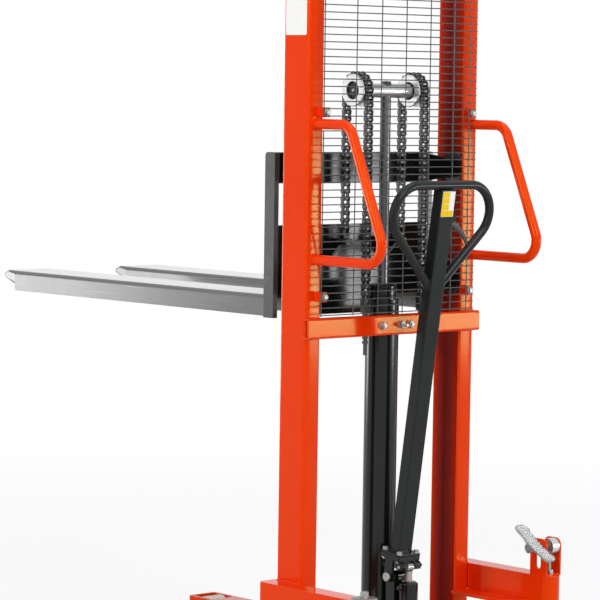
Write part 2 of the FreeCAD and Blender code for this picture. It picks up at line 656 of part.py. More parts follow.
def frame_fasteners():
    """Clamp nuts and the stop bolt on the cross bar, and the bolts that hold the wire guard to its tabs."""
    z = BAR_BOTTOM + BAR_HEIGHT / 2
    pieces = []
    for x in (-clamp_radius(), clamp_radius()):
        nut = hexagon("y", NUT_ACROSS, BAR_BACK - NUT_HEIGHT, BAR_BACK, x, z)
        pieces.append(nut.cut(bar("y", CLAMP_ROD + FIT, BAR_BACK - NUT_HEIGHT - 1, BAR_BACK + 1, x, z)))
    stop_nut = hexagon("y", NUT_ACROSS, BAR_BACK - NUT_HEIGHT, BAR_BACK, STOP_BOLT_X, z)
    stop_end = CYL_Y - math.sqrt(CYL_RADIUS ** 2 - (STOP_BOLT_X - CLAMP_ROD) ** 2) - CLEAR
    stop_bolt = bar("y", CLAMP_ROD, BAR_BACK - STOP_BOLT_REACH, stop_end, STOP_BOLT_X, z)
    pieces.append(stop_nut.fuse(stop_bolt))
    seat = GUARD_Y - WIRE / 2
    under_head = seat - SMALL_WASHER
    for tab_z in TAB_HEIGHTS:
        washer = bar("y", SMALL_BOLT_ACROSS * 0.7, under_head, seat, TAB_BOLT_X, tab_z)
        head = hexagon("y", SMALL_BOLT_ACROSS, under_head - SMALL_BOLT_HEAD, under_head, TAB_BOLT_X, tab_z)
        shank = bar("y", TAB_BOLT, seat, GUARD_Y + WIRE / 2 + TAB_THICK + 3, TAB_BOLT_X, tab_z)
        bolt = washer.fuse([head, shank]).removeSplitter()
        pieces += [bolt, mirrored(bolt)]
    return Part.makeCompound(pieces)


def wire(axis, start, end, u, v):
    """One straight wire of the guard, as a hexagonal bar with flats front and back."""
    return hexagon(axis, WIRE, start, end, u, v)


def mesh_guard():
    """Welded wire panel: cross wires in one plane, upright wires behind them, cut out round the handles."""
    count = int((GUARD_TOP - GUARD_BOTTOM) / GUARD_STEP) + 1
    bottom = GUARD_BOTTOM - WIRE
    top = GUARD_BOTTOM + (count - 1) * GUARD_STEP + WIRE
    cut_out = HANDLE_RADIUS + WIRE
    inside = HANDLE_X - cut_out
    across = []
    for row in range(count):
        z = GUARD_BOTTOM + row * GUARD_STEP
        by_handle = min(abs(z - HANDLE_TOP), abs(z - HANDLE_BOTTOM)) < cut_out
        left = -inside if by_handle else GUARD_LEFT
        right = inside if by_handle else GUARD_RIGHT
        level = wire("x", left, right, 0, 0)
        level.rotate(Vector(), Vector(1, 0, 0), 30)
        level.translate(Vector(0, GUARD_Y, z))
        across.append(level)
    places = [GUARD_UPRIGHT_MIDDLE + GUARD_UPRIGHT_STEP * k for k in range(-2, 3)]
    upright = [wire("z", bottom, top, x, GUARD_Y - WIRE) for x in places + [GUARD_EDGE_WIRE]]
    edge = [
        (bottom, HANDLE_BOTTOM - cut_out), (HANDLE_BOTTOM + cut_out, HANDLE_TOP - cut_out),
        (HANDLE_TOP + cut_out, top)]
    upright += [wire("z", low, high, GUARD_LEFT + WIRE / 2, GUARD_Y - WIRE) for low, high in edge]
    return Part.makeCompound(across + upright)


def mesh_tabs():
    """Angle tabs that stand off the masts' rear flanges and carry the guard."""
    plate_front = GUARD_Y + WIRE / 2 + TAB_THICK
    pieces = []
    for z in TAB_HEIGHTS:
        low = z - TAB_HEIGHT / 2
        high = z + TAB_HEIGHT / 2
        outer = TAB_BOLT_X + TAB_WIDTH / 2
        face = block(outer - TAB_WIDTH, outer, GUARD_Y + WIRE / 2, plate_front, low, high)
        foot = block(outer - TAB_THICK, outer, plate_front, MAST_BACK, low, high)
        hole = bar("y", TAB_BOLT + FIT, GUARD_Y, plate_front + 1, TAB_BOLT_X, z)
        tab = face.fuse(foot).cut(hole).removeSplitter()
        pieces += [tab, mirrored(tab)]
    return Part.makeCompound(pieces)


def push_handle():
    """Right push handle: one bent tube from the mast's back to its back again."""
    points = [
        (Vector(HANDLE_X, MAST_BACK, HANDLE_TOP), 0),
        (Vector(HANDLE_X, MAST_BACK - HANDLE_UPPER_REACH, HANDLE_TOP), HANDLE_BEND),
        (Vector(HANDLE_X, MAST_BACK - HANDLE_LOWER_REACH, HANDLE_BOTTOM), HANDLE_BEND),
        (Vector(HANDLE_X, MAST_BACK, HANDLE_BOTTOM), 0)]
    return bent_bar(points, HANDLE_RADIUS)


# Lift cylinder and crosshead

def cylinder_tube():
    """Barrel on its foot, closed below and open above."""
    foot_top = LEG_TOP + CYL_FOOT_THICK
    profile = [
        (0, LEG_TOP), (CYL_FOOT_RADIUS, LEG_TOP), (CYL_FOOT_RADIUS, foot_top), (CYL_RADIUS, foot_top),
        (CYL_RADIUS, CYL_TOP), (CYL_BORE, CYL_TOP), (CYL_BORE, foot_top + 8), (0, foot_top + 8)]
    return turned("z", profile, 0, CYL_Y)


def cylinder_gland():
    """Gland nut: a collar on the barrel, a spigot in its bore, and the bore for the rod."""
    bore = ROD_RADIUS + RUN
    collar = CYL_TOP + GLAND_COLLAR
    profile = [
        (bore, CYL_TOP - GLAND_SPIGOT), (CYL_BORE - FIT, CYL_TOP - GLAND_SPIGOT), (CYL_BORE - FIT, CYL_TOP),
        (CYL_RADIUS, CYL_TOP), (CYL_RADIUS, collar), (GLAND_RADIUS, collar), (GLAND_RADIUS, GLAND_TOP - 5),
        (GLAND_RADIUS - 5, GLAND_TOP), (bore, GLAND_TOP)]
    return turned("z", profile, 0, CYL_Y)


def seat_of_crosshead():
    """Half height of the flats on which the rod's shoulder and its nut sit."""
    return CROSSHEAD_RADIUS - 2.5


def piston_rod():
    """Rod with the piston at its foot and a stud through the crosshead at its top."""
    shoulder = PULLEY_Z - seat_of_crosshead()
    stud = ROD_RADIUS - 4
    top = PULLEY_Z + seat_of_crosshead() + NUT_HEIGHT + 3
    piston = CYL_BORE - RUN
    profile = [
        (0, PISTON_BASE), (piston, PISTON_BASE), (piston, PISTON_BASE + PISTON_LENGTH),
        (ROD_RADIUS, PISTON_BASE + PISTON_LENGTH), (ROD_RADIUS, shoulder), (stud, shoulder),
        (stud, top), (0, top)]
    return turned("z", profile, 0, CYL_Y)


def crosshead():
    """Round bar across the rod, turned down at both ends for the pulleys."""
    half = PULLEY_X - PULLEY_WIDTH / 2 - CLEAR
    end = PULLEY_X + PULLEY_WIDTH / 2 - AXLE_RECESS
    body = bar("x", CROSSHEAD_RADIUS, -half, half, CYL_Y, PULLEY_Z)
    axle = bar("x", PULLEY_AXLE_RADIUS, -end, end, CYL_Y, PULLEY_Z)
    seat = seat_of_crosshead()
    flats = [
        bar("z", ROD_RADIUS + 2, PULLEY_Z + seat, PULLEY_Z + CROSSHEAD_RADIUS + 1, 0, CYL_Y),
        bar("z", ROD_RADIUS + 2, PULLEY_Z - CROSSHEAD_RADIUS - 1, PULLEY_Z - seat, 0, CYL_Y),
        bar("z", ROD_RADIUS - 4 + FIT, PULLEY_Z - CROSSHEAD_RADIUS, PULLEY_Z + CROSSHEAD_RADIUS, 0, CYL_Y)]
    return body.fuse(axle).removeSplitter().cut(flats)


def crosshead_fasteners():
    """Nut on the rod's stud, and the rings that keep the pulleys on their axle."""
    base = PULLEY_Z + seat_of_crosshead()
    nut = hexagon("z", ROD_RADIUS * 2 - 1, base, base + NUT_HEIGHT, 0, CYL_Y)
    nut = nut.cut(bar("z", ROD_RADIUS - 4 + FIT, base - 1, base + NUT_HEIGHT + 1, 0, CYL_Y))
    start = PULLEY_X + PULLEY_WIDTH / 2 - BEARING_RECESS + CLEAR
    ring = bar("x", PULLEY_AXLE_RADIUS + 4, start, start + 2, CYL_Y, PULLEY_Z)
    ring = ring.cut(bar("x", PULLEY_AXLE_RADIUS + FIT, start - 1, start + 3, CYL_Y, PULLEY_Z))
    return Part.makeCompound([nut, ring, mirrored(ring)])


def chain_pulley():
    """Right pulley: a drum between two rims, bored for its bearings."""
    half = PULLEY_WIDTH / 2
    rim = half - PULLEY_FLANGE
    drum = CHAIN_RADIUS * math.cos(math.radians(LINK_ANGLE / 2)) - CHAIN_PLATE_HEIGHT / 2 - CLEAR
    side = [
        (BEARING_RADIUS, half), (PULLEY_RIM - 2, half), (PULLEY_RIM, half - 2), (PULLEY_RIM, rim),
        (drum, rim)]
    profile = side + [(radius, -along) for radius, along in reversed(side)]
    pulley = turned("x", profile, CYL_Y, PULLEY_Z)
    pulley.translate(Vector(PULLEY_X, 0, 0))
    return pulley


def pulley_bearing():
    """Bearing cartridge pressed into the right pulley, a little below its faces."""
    half = PULLEY_WIDTH / 2 - BEARING_RECESS
    profile = [
        (PULLEY_AXLE_RADIUS + RUN, -half), (BEARING_RADIUS - FIT, -half), (BEARING_RADIUS - FIT, half),
        (PULLEY_AXLE_RADIUS + RUN, half)]
    bearing = turned("x", profile, CYL_Y, PULLEY_Z)
    bearing.translate(Vector(PULLEY_X, 0, 0))
    return bearing


# Roller chains

def link(inner):
    """One chain link along Z: an inner link with its two rollers, or two outer side plates."""
    tip = CHAIN_PITCH / 2 + CHAIN_PLATE_OVERHANG
    edge = CHAIN_PITCH / 2 - 1
    half = CHAIN_PLATE_HEIGHT / 2
    outline = [(0, -tip), (half, -edge), (half, edge), (0, tip), (-half, edge), (-half, -edge)]
    near = CHAIN_INNER_WIDTH / 2 if inner else OUTER_PLATE_X
    plates = [
        slab("yz", outline, near, near + CHAIN_PLATE), slab("yz", outline, -near - CHAIN_PLATE, -near)]
    if not inner:
        return plates
    across = CHAIN_ROLLER * math.sqrt(3)
    rollers = [hexagon("x", across, -near, near, 0, z) for z in (-CHAIN_PITCH / 2, CHAIN_PITCH / 2)]
    return [plates[0].fuse([plates[1]] + rollers)]


INNER_LINK = link(True)
OUTER_LINK = link(False)


def placed_link(number, y, z, angle):
    """Copy of a link for its number along the chain, turned about X; even numbers are inner links."""
    copies = []
    for piece in INNER_LINK if number % 2 == 0 else OUTER_LINK:
        copy = piece.copy()
        copy.rotate(Vector(), Vector(1, 0, 0), angle)
        copy.translate(Vector(PULLEY_X, y, z))
        copies.append(copy)
    return copies


def chain_behind():
    """Right chain from its anchor up to the pulley."""
    links = []
    for number in range(LINKS_BEHIND):
        links += placed_link(number, CHAIN_BACK_Y, ANCHOR_PIN_Z + (number + 0.5) * CHAIN_PITCH, 0)
    return Part.makeCompound(links)


def chain_over():
    """Right chain over the pulley."""
    links = []
    middle = CHAIN_RADIUS * math.cos(math.radians(LINK_ANGLE / 2))
    for step in range(LINKS_ON_PULLEY):
        angle = (step + 0.5) * LINK_ANGLE
        y = CYL_Y - middle * math.cos(math.radians(angle))
        z = PULLEY_Z + middle * math.sin(math.radians(angle))
        links += placed_link(LINKS_BEHIND + step, y, z, -angle)
    return Part.makeCompound(links)


def chain_in_front():
    """Right chain from the pulley down to the carriage."""
    links = []
    for step in range(LINKS_IN_FRONT):
        number = LINKS_BEHIND + LINKS_ON_PULLEY + step
        links += placed_link(number, CHAIN_FRONT_Y, PULLEY_Z - (step + 0.5) * CHAIN_PITCH, 0)
    return Part.makeCompound(links)


def chain_anchor():
    """Right chain's anchor: a clevis on a threaded rod through the cross bar, with its nuts."""
    top = BAR_BOTTOM + BAR_HEIGHT
    cheek_top = ANCHOR_PIN_Z + CHAIN_PLATE_OVERHANG
    base = top + NUT_HEIGHT
    half = CHAIN_PLATE_HEIGHT / 2
    floor = ANCHOR_PIN_Z - CHAIN_PLATE_OVERHANG - 3
    body = block(
        PULLEY_X - CHAIN_HALF_WIDTH, PULLEY_X + CHAIN_HALF_WIDTH, CHAIN_BACK_Y - half, CHAIN_BACK_Y + half,
        base, cheek_top)
    gap = block(
        PULLEY_X - OUTER_PLATE_X, PULLEY_X + OUTER_PLATE_X, CHAIN_BACK_Y - half - 1, CHAIN_BACK_Y + half + 1,
        floor, cheek_top + 1)
    rod = bar("z", ANCHOR_ROD, BAR_BOTTOM - ANCHOR_ROD_TAIL, base, PULLEY_X, CHAIN_BACK_Y)
    pin_end = PULLEY_X + CHAIN_HALF_WIDTH + 2
    pin = bar("x", CHAIN_ROLLER / 2, PULLEY_X + OUTER_PLATE_X, pin_end, CHAIN_BACK_Y, ANCHOR_PIN_Z)
    nuts = []
    for level in (top, BAR_BOTTOM - NUT_HEIGHT, BAR_BOTTOM - 2.5 * NUT_HEIGHT):
        nuts.append(hexagon("z", ANCHOR_NUT_ACROSS, level, level + NUT_HEIGHT, PULLEY_X, CHAIN_BACK_Y))
    return body.cut(gap).fuse([rod, pin] + nuts).removeSplitter()


# Fork carriage

def fork():
    """Right fork: a channel open below, with rounded top edges and a tapered nose."""
    left = FORK_SPACING / 2 - FORK_WIDTH / 2
    right = left + FORK_WIDTH
    bottom = FORK_TOP - FORK_SIDE
    ceiling = FORK_TOP - FORK_TOP_WALL
    section = [
        (left, bottom), (left + FORK_SIDE_WALL, bottom), (left + FORK_SIDE_WALL, ceiling),
        (right - FORK_SIDE_WALL, ceiling), (right - FORK_SIDE_WALL, bottom), (right, bottom),
        (right, FORK_TOP, FORK_EDGE), (left, FORK_TOP, FORK_EDGE)]
    channel = slab("xz", section, PLATE_FRONT, FORK_END)
    channel = channel.cut(block(UPRIGHT_IN, FORK_OUT + 1, 0, UPRIGHT_REAR + UPRIGHT_DEPTH, 0, MAST_TOP))
    root = nose_section(left, right, FORK_TOP - FORK_NOSE_ROOT, FORK_TOP, FORK_END, FORK_EDGE)
    share = 1 - FORK_NOSE_BROW / FORK_NOSE
    side = share * FORK_NOSE_NARROWING
    tip_depth = FORK_NOSE_DROP + FORK_NOSE_TIP
    depth = FORK_NOSE_ROOT + share * (tip_depth - FORK_NOSE_ROOT)
    brow_y = FORK_END + share * FORK_NOSE
    rounding = 0.45 * FORK_NOSE_TIP
    brow = nose_section(left + side, right - side, FORK_TOP - depth, FORK_TOP, brow_y, rounding)
    left += FORK_NOSE_NARROWING
    right -= FORK_NOSE_NARROWING
    tip = nose_section(
        left, right, FORK_TOP - tip_depth, FORK_TOP - FORK_NOSE_DROP, FORK_END + FORK_NOSE, rounding)
    nose = Part.makeLoft([root, brow, tip], True, True)
    return channel.fuse(nose).removeSplitter()


def nose_section(left, right, bottom, top, y, radius):
    """Closed wire across the fork with rounded corners."""
    corners = rectangle(left, right, bottom, top, radius)
    return run_of_edges([(Vector(x, y, z), radius) for x, z, radius in corners], True)


def carriage_upright():
    bottom = FORK_TOP - FORK_SIDE - 4
    front = UPRIGHT_REAR + UPRIGHT_DEPTH
    outline = [
        (UPRIGHT_REAR, bottom), (front, bottom), (front, UPRIGHT_TOP, 10), (UPRIGHT_REAR, UPRIGHT_TOP, 4)]
    return slab("yz", outline, UPRIGHT_IN, FORK_OUT)


def carriage_plate_upper():
    outline = rectangle(-UPRIGHT_IN, UPRIGHT_IN, UPRIGHT_TOP - UPPER_PLATE_HEIGHT, UPRIGHT_TOP)
    return slab("xz", outline, UPRIGHT_REAR, PLATE_FRONT)


def carriage_plate_lower():
    """Lower plate, cut away above the legs so that it can come down over them."""
    bottom = FORK_TOP - FORK_SIDE
    inner = LEG_MIDDLE - LEG_WIDTH / 2 - LEG_SLOT_GAP
    outline = [
        (-inner, bottom, 4), (inner, bottom, 4), (inner, LEG_SLOT_TOP, 6), (UPRIGHT_IN, LEG_SLOT_TOP),
        (UPRIGHT_IN, LOWER_PLATE_TOP), (-UPRIGHT_IN, LOWER_PLATE_TOP), (-UPRIGHT_IN, LEG_SLOT_TOP),
        (-inner, LEG_SLOT_TOP, 6)]
    return slab("xz", outline, UPRIGHT_REAR, PLATE_FRONT)


def roller_bracket(base):
    """Right bracket: an arm from the carriage into the mast, with the stub pin of a roller."""
    middle = base + BRACKET_HEIGHT / 2
    nose = 2 * ROLLER_PIN
    outline = [
        (UPRIGHT_REAR, base), (UPRIGHT_REAR, base + BRACKET_HEIGHT), (-nose, middle + nose, nose - 1),
        (-nose, middle - nose, nose - 1)]
    arm = slab("yz", outline, BRACKET_X - BRACKET_THICK, BRACKET_X)
    pin = bar("x", ROLLER_PIN, BRACKET_X, ROLLER_MIDDLE_X + ROLLER_WIDTH / 2 + 2, 0, middle)
    return arm.fuse(pin)


def chain_hook():
    """Right chain's hook on the carriage: a shelf with a tongue for the last link."""
    half = HOOK_WIDTH / 2
    back = CHAIN_FRONT_Y - half
    top = HOOK_PIN_Z - CHAIN_PLATE_OVERHANG - 4
    shelf = slab("xy", [
        (PULLEY_X - half, UPRIGHT_REAR), (PULLEY_X - half, back, 8), (PULLEY_X + half, back, 8),
        (PULLEY_X + half, UPRIGHT_REAR)], top - HOOK_THICK, top)
    web = slab("yz", [
        (UPRIGHT_REAR, top - HOOK_THICK), (CHAIN_FRONT_Y + half, top - HOOK_THICK), (UPRIGHT_REAR, top - 70)],
        PULLEY_X - 5, PULLEY_X + 5)
    tongue_half = OUTER_PLATE_X - FIT
    tongue_outline = rectangle(CHAIN_FRONT_Y - 7, CHAIN_FRONT_Y + 7, top, HOOK_PIN_Z + 3, 2)
    tongue = slab("yz", tongue_outline, PULLEY_X - tongue_half, PULLEY_X + tongue_half)
    return shelf.fuse([web, tongue]).removeSplitter()


def carriage_brackets():
    pieces = [roller_bracket(UPRIGHT_TOP - BRACKET_HEIGHT), roller_bracket(LOWER_BRACKET_BASE), chain_hook()]
    return Part.makeCompound(pieces + [mirrored(piece) for piece in pieces])


def mast_rollers(z):
    """Left and right roller on one level."""
    half = ROLLER_WIDTH / 2
    bore = ROLLER_PIN + RUN
    profile = [
        (bore, -half), (ROLLER_RADIUS - 2, -half), (ROLLER_RADIUS, -half + 2), (ROLLER_RADIUS, half - 2),
        (ROLLER_RADIUS - 2, half), (bore, half)]
    roller = turned("x", profile, 0, z)
    roller.translate(Vector(ROLLER_MIDDLE_X, 0, 0))
    return pair(roller)


# Tiller and pump

def flange_bolt_places():
    half_x = FLANGE_WIDTH / 2 - FLANGE_BOLT_INSET
    half_y = FLANGE_DEPTH / 2 - FLANGE_BOLT_INSET
    return [(x, y) for x in (-half_x, half_x) for y in (-half_y, half_y)]


def flange_outline():
    half_x = FLANGE_WIDTH / 2
    half_y = FLANGE_DEPTH / 2
    return rectangle(-half_x, half_x, -half_y, half_y, FLANGE_EDGE)


def tiller_tube():
    """Square tube on its foot flange, with ears for the release lever on its right side."""
    flange_base = YOKE_PLATE_BASE + FLANGE_THICK
    flange_top = flange_base + FLANGE_THICK
    half_x = TILLER_WIDTH / 2
    half_y = TILLER_DEPTH / 2
    top = LOOP_TOP - LOOP_RADIUS
    flange = slab("xy", flange_outline(), flange_base, flange_top)
    tube = slab("xy", rectangle(-half_x, half_x, -half_y, half_y, TILLER_EDGE), flange_top, top)
    hollow = block(
        -half_x + TILLER_WALL, half_x - TILLER_WALL, -half_y + TILLER_WALL, half_y - TILLER_WALL,
        flange_top, top - TILLER_WALL)
    ear = slab("xz", rectangle(half_x - 1, half_x + 20, LEVER_PIVOT_UP - 11, LEVER_PIVOT_UP + 11, 5), 0, 4)
    gap = LEVER_THICK / 2 + CLEAR
    front_ear = ear.copy()
    front_ear.translate(Vector(0, gap, 0))
    rear_ear = ear.copy()
    rear_ear.translate(Vector(0, -gap - 4, 0))
    pin = bar("y", LEVER_PIN, -gap - 6, gap + 6, LEVER_PIVOT_X, LEVER_PIVOT_UP)
    holes = [bar("z", FLANGE_BOLT, flange_base - 1, flange_top + 1, x, y) for x, y in flange_bolt_places()]
    body = tube.cut(hollow).fuse([flange, front_ear, rear_ear, pin]).removeSplitter()
    return leaned(body.cut(holes))


def tiller_loop():
    """Grip loop of one bent tube, whose ends meet the sides of the tiller."""
    right = [
        (Vector(LOOP_RADIUS, 0, LOOP_ROOT), 0), (Vector(LOOP_SHOULDER_HALF, 0, LOOP_SHOULDER), LOOP_BEND),
        (Vector(LOOP_TOP_HALF, 0, LOOP_TOP), LOOP_BEND)]
    left = [(Vector(-point.x, 0, point.z), bend) for point, bend in reversed(right)]
    loop = bent_bar(right + left, LOOP_RADIUS)
    half_x = TILLER_WIDTH / 2
    core = block(-half_x, half_x, -TILLER_DEPTH, TILLER_DEPTH, LOOP_ROOT - 100, LOOP_TOP - LOOP_RADIUS)
    return leaned(loop.cut(core))


def tiller_yoke():
    """Casting under the tiller: a plate, two legs on the pivot pin, and two cheeks for the pump roller."""
    half_x = FLANGE_WIDTH / 2
    plate_top = YOKE_PLATE_BASE + FLANGE_THICK
    plate = slab("xy", flange_outline(), YOKE_PLATE_BASE, plate_top)
    depth = YOKE_LEG_HALF_DEPTH
    end = depth - 0.5
    leg_outline = [
        (-depth, YOKE_PLATE_BASE), (-depth, -depth, end), (depth, -depth, end), (depth, YOKE_PLATE_BASE)]
    start = PUMP_POST_HALF_WIDTH + 1
    near_leg = slab("yz", leg_outline, start, start + YOKE_LEG)
    back = -PUMP_ROLLER_BACK
    cheek_outline = [
        (back + 15, YOKE_PLATE_BASE), (back + 12, PUMP_ROLLER_UP - 6, 4), (back - 9, PUMP_ROLLER_UP - 6, 5),
        (-FLANGE_DEPTH / 2 + 2 - 16, YOKE_PLATE_BASE - 8, 3), (-FLANGE_DEPTH / 2, YOKE_PLATE_BASE)]
    inner = PUMP_ROLLER_HALF_WIDTH + 1
    cheek = slab("yz", cheek_outline, inner, inner + PUMP_CHEEK)
    pin_end = inner + PUMP_CHEEK + 1
    roller_pin = bar("x", PUMP_ROLLER_PIN, -pin_end, pin_end, back, PUMP_ROLLER_UP)
    body = plate.fuse([near_leg, mirrored(near_leg), cheek, mirrored(cheek), roller_pin]).removeSplitter()
    holes = [bar("z", FLANGE_BOLT, YOKE_PLATE_BASE - 1, plate_top + 1, x, y) for x, y in flange_bolt_places()]
    holes.append(bar("x", PIVOT_PIN + FIT, -half_x - 9, half_x + 9, 0, 0))
    return leaned(body.cut(holes))


def yoke_fasteners():
    """Four flange bolts, and the pivot pin with its head on the left."""
    seat = YOKE_PLATE_BASE + 2 * FLANGE_THICK
    pieces = []
    for x, y in flange_bolt_places():
        head = hexagon("z", SMALL_BOLT_ACROSS, seat, seat + SMALL_BOLT_HEAD, x, y)
        shank = bar("z", FLANGE_BOLT - FIT, YOKE_PLATE_BASE - 6, seat, x, y)
        pieces.append(head.fuse(shank))
    outer = PUMP_POST_HALF_WIDTH + 1 + YOKE_LEG
    pin = bar("x", PIVOT_PIN, -outer, outer + 4, 0, 0)
    head = bar("x", PIVOT_PIN + 2.5, -outer - 5, -outer, 0, 0)
    pieces.append(pin.fuse(head))
    return leaned(Part.makeCompound(pieces))


def pump_roller():
    half = PUMP_ROLLER_HALF_WIDTH
    roller = bar("x", PUMP_ROLLER, -half, half, -PUMP_ROLLER_BACK, PUMP_ROLLER_UP)
    bore = bar("x", PUMP_ROLLER_PIN + RUN, -half - 1, half + 1, -PUMP_ROLLER_BACK, PUMP_ROLLER_UP)
    return leaned(roller.cut(bore))


def release_lever():
    """Finger lever: an eye on its pin and a tapered, slightly hooked blade."""
    along = LEVER_LENGTH
    outline = [
        (-7, -6, 5), (0.4 * along, -6, 40), (along - 3, -LEVER_HOOK, 2.5), (along + 2, 6 - LEVER_HOOK, 2.5),
        (0.5 * along, 7, 50), (-7, 7, 5)]
    blade = slab("xz", outline, -LEVER_THICK / 2, LEVER_THICK / 2)
    eye = bar("y", 9, -LEVER_THICK / 2, LEVER_THICK / 2, 0, 0)
    hole = bar("y", LEVER_PIN + RUN, -LEVER_THICK, LEVER_THICK, 0, 0)
    lever = blade.fuse(eye).removeSplitter().cut(hole)
    lever.rotate(Vector(), Vector(0, 1, 0), LEVER_DROP_ANGLE)
    lever.translate(Vector(LEVER_PIVOT_X, 0, LEVER_PIVOT_UP))
    return leaned(lever)


def pump_body():
    """Pump casting on the base plate: a barrel for the plunger, a post for the pivot, and a block."""
    barrel_profile = [
        (0, LEG_TOP), (PUMP_RADIUS, LEG_TOP), (PUMP_RADIUS, PUMP_TOP - 6), (PUMP_RADIUS - 7, PUMP_TOP),
        (0, PUMP_TOP)]
    barrel = turned("z", barrel_profile, 0, PUMP_Y)
    depth = PUMP_POST_HALF_DEPTH
    rounding = depth - 0.5
    post_outline = [
        (PIVOT_Y - depth, LEG_TOP), (PIVOT_Y + depth, LEG_TOP), (PIVOT_Y + depth, PIVOT_Z + depth, rounding),
        (PIVOT_Y - depth, PIVOT_Z + depth, rounding)]
    post = slab("yz", post_outline, -PUMP_POST_HALF_WIDTH, PUMP_POST_HALF_WIDTH)
    foot = slab("xy", rectangle(
        -PUMP_BLOCK_HALF_WIDTH, PUMP_BLOCK_HALF_WIDTH, PUMP_Y - PUMP_RADIUS - 6, PIVOT_Y + depth + 4, 14),
        LEG_TOP, PUMP_BLOCK_TOP)
    slot = block(
        -PUMP_CHEEK - PUMP_ROLLER_HALF_WIDTH - 3, PUMP_CHEEK + PUMP_ROLLER_HALF_WIDTH + 3, PUMP_Y - 60,
        PIVOT_Y - depth, PUMP_TOP, PIVOT_Z + 40)
    bores = [
        bar("z", PLUNGER_RADIUS + RUN, PUMP_TOP - PLUNGER_LENGTH, PUMP_TOP + 1, 0, PUMP_Y),
        bar("x", PIVOT_PIN + RUN, -PUMP_POST_HALF_WIDTH - 1, PUMP_POST_HALF_WIDTH + 1, PIVOT_Y, PIVOT_Z)]
    return barrel.fuse([post, foot]).removeSplitter().cut(bores + [slot])


def pump_plunger():
    base = PLUNGER_TOP - PLUNGER_LENGTH
    profile = [
        (0, base), (PLUNGER_RADIUS, base), (PLUNGER_RADIUS, PLUNGER_TOP - 1),
        (PLUNGER_RADIUS - 1, PLUNGER_TOP), (0, PLUNGER_TOP)]
    return turned("z", profile, 0, PUMP_Y)


def release_valve():
    """Valve screw in the left side of the pump barrel."""
    z = PUMP_TOP - 16
    start = -PUMP_RADIUS - 9
    plug = hexagon("x", SMALL_BOLT_ACROSS, start, start + 6, PUMP_Y, z)
    stem = bar("x", 3, start - 6, -PUMP_RADIUS + 0.6, PUMP_Y, z)
    return plug.fuse(stem).removeSplitter().cut(bar("z", PUMP_RADIUS, LEG_TOP, PUMP_TOP, 0, PUMP_Y))


# Every sub-part under its own name

def all_parts():
    parts = {
        "mast_left": mirrored(mast()), "mast_right": mast(), "mast_top_tie": mast_top_tie(),
        "base_cross_box": base_cross_box(), "base_plate": base_plate(),
        "leg_left": mirrored(leg()), "leg_right": leg(), "load_axles": pair(load_axle()),
        "load_roller_left": mirrored(load_roller()), "load_roller_right": load_roller(),
        "base_beam_left": mirrored(base_beam()), "base_beam_right": base_beam(),
        "base_gussets": pair(base_gusset()),
        "caster_fork_left": caster_fork_left(), "caster_fork_right": caster_fork_right(),
        "caster_wheel_left": mirrored(caster_wheel()), "caster_wheel_right": caster_wheel(),
        "swivel_cap": swivel_cap(),
        "brake_bracket": brake_bracket(), "brake_pedal": brake_pedal(), "brake_cam": brake_cam(),
        "brake_push_bolt": brake_push_bolt(),
        "cross_bar": cross_bar(), "cylinder_clamp": cylinder_clamp(), "frame_fasteners": frame_fasteners(),
        "mesh_guard": mesh_guard(), "mesh_tabs": mesh_tabs(),
        "push_handle_left": mirrored(push_handle()), "push_handle_right": push_handle(),
        "cylinder_tube": cylinder_tube(), "cylinder_gland": cylinder_gland(), "piston_rod": piston_rod(),
        "crosshead": crosshead(), "crosshead_fasteners": crosshead_fasteners(),
        "chain_pulley_left": mirrored(chain_pulley()), "chain_pulley_right": chain_pulley(),
        "pulley_bearings": pair(pulley_bearing()),
        "chain_behind_left": mirrored(chain_behind()), "chain_behind_right": chain_behind(),
        "chain_over_pulleys": pair(chain_over()),
        "chain_front_left": mirrored(chain_in_front()), "chain_front_right": chain_in_front(),
        "chain_anchors": pair(chain_anchor()),
        "fork_left": mirrored(fork()), "fork_right": fork(), "carriage_uprights": pair(carriage_upright()),
        "carriage_plate_upper": carriage_plate_upper(), "carriage_plate_lower": carriage_plate_lower(),
        "carriage_brackets": carriage_brackets(),
        "mast_rollers_upper": mast_rollers(UPPER_ROLLER_Z),
        "mast_rollers_lower": mast_rollers(LOWER_ROLLER_Z),
        "tiller_tube": tiller_tube(), "tiller_loop": tiller_loop(), "tiller_yoke": tiller_yoke(),
        "yoke_fasteners": yoke_fasteners(), "pump_roller": pump_roller(), "release_lever": release_lever(),
        "pump_body": pump_body(), "pump_plunger": pump_plunger(), "release_valve": release_valve(),
    }
    return parts


def centred_on_footprint(parts):
    """Moves everything so that the origin is on the floor under the middle of the overall length."""
    boxes = [shape.BoundBox for shape in parts.values()]
    middle = (min(box.YMin for box in boxes) + max(box.YMax for box in boxes)) / 2
    for shape in parts.values():
        shape.translate(Vector(0, -middle, 0))
    return middle


PARTS = all_parts()
ORIGIN_Y = centred_on_footprint(PARTS)
os.makedirs("parts", exist_ok=True)
for name, shape in PARTS.items():
    shape.exportStep(f"parts/{name}.step")
print(len(PARTS), "sub-parts; the origin is", round(ORIGIN_Y, 3), "mm in front of the masts' middle")
print("the forks run from", FORK_LOWERED, "to", FORK_RAISED, "mm; the rod makes half of that travel")
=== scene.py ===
# %% [markdown]
# # A hand pallet stacker
# Two folded steel masts stand on a low base. A pump worked by the tiller pushes a rod out of the cylinder, the
# rod lifts two chain pulleys, and the chains pull the fork carriage up at twice the rod's speed. The machine
# arrives as a measured frame of sixty sub-parts, so nothing here has to be fitted by eye: this lesson paints
# those parts, and models again the ones whose looks are in small detail, such as the chains.

# %% Load the frame
from math import cos, pi, radians, sin, tan
import bmesh
import bpy
from mathutils import Matrix, Vector


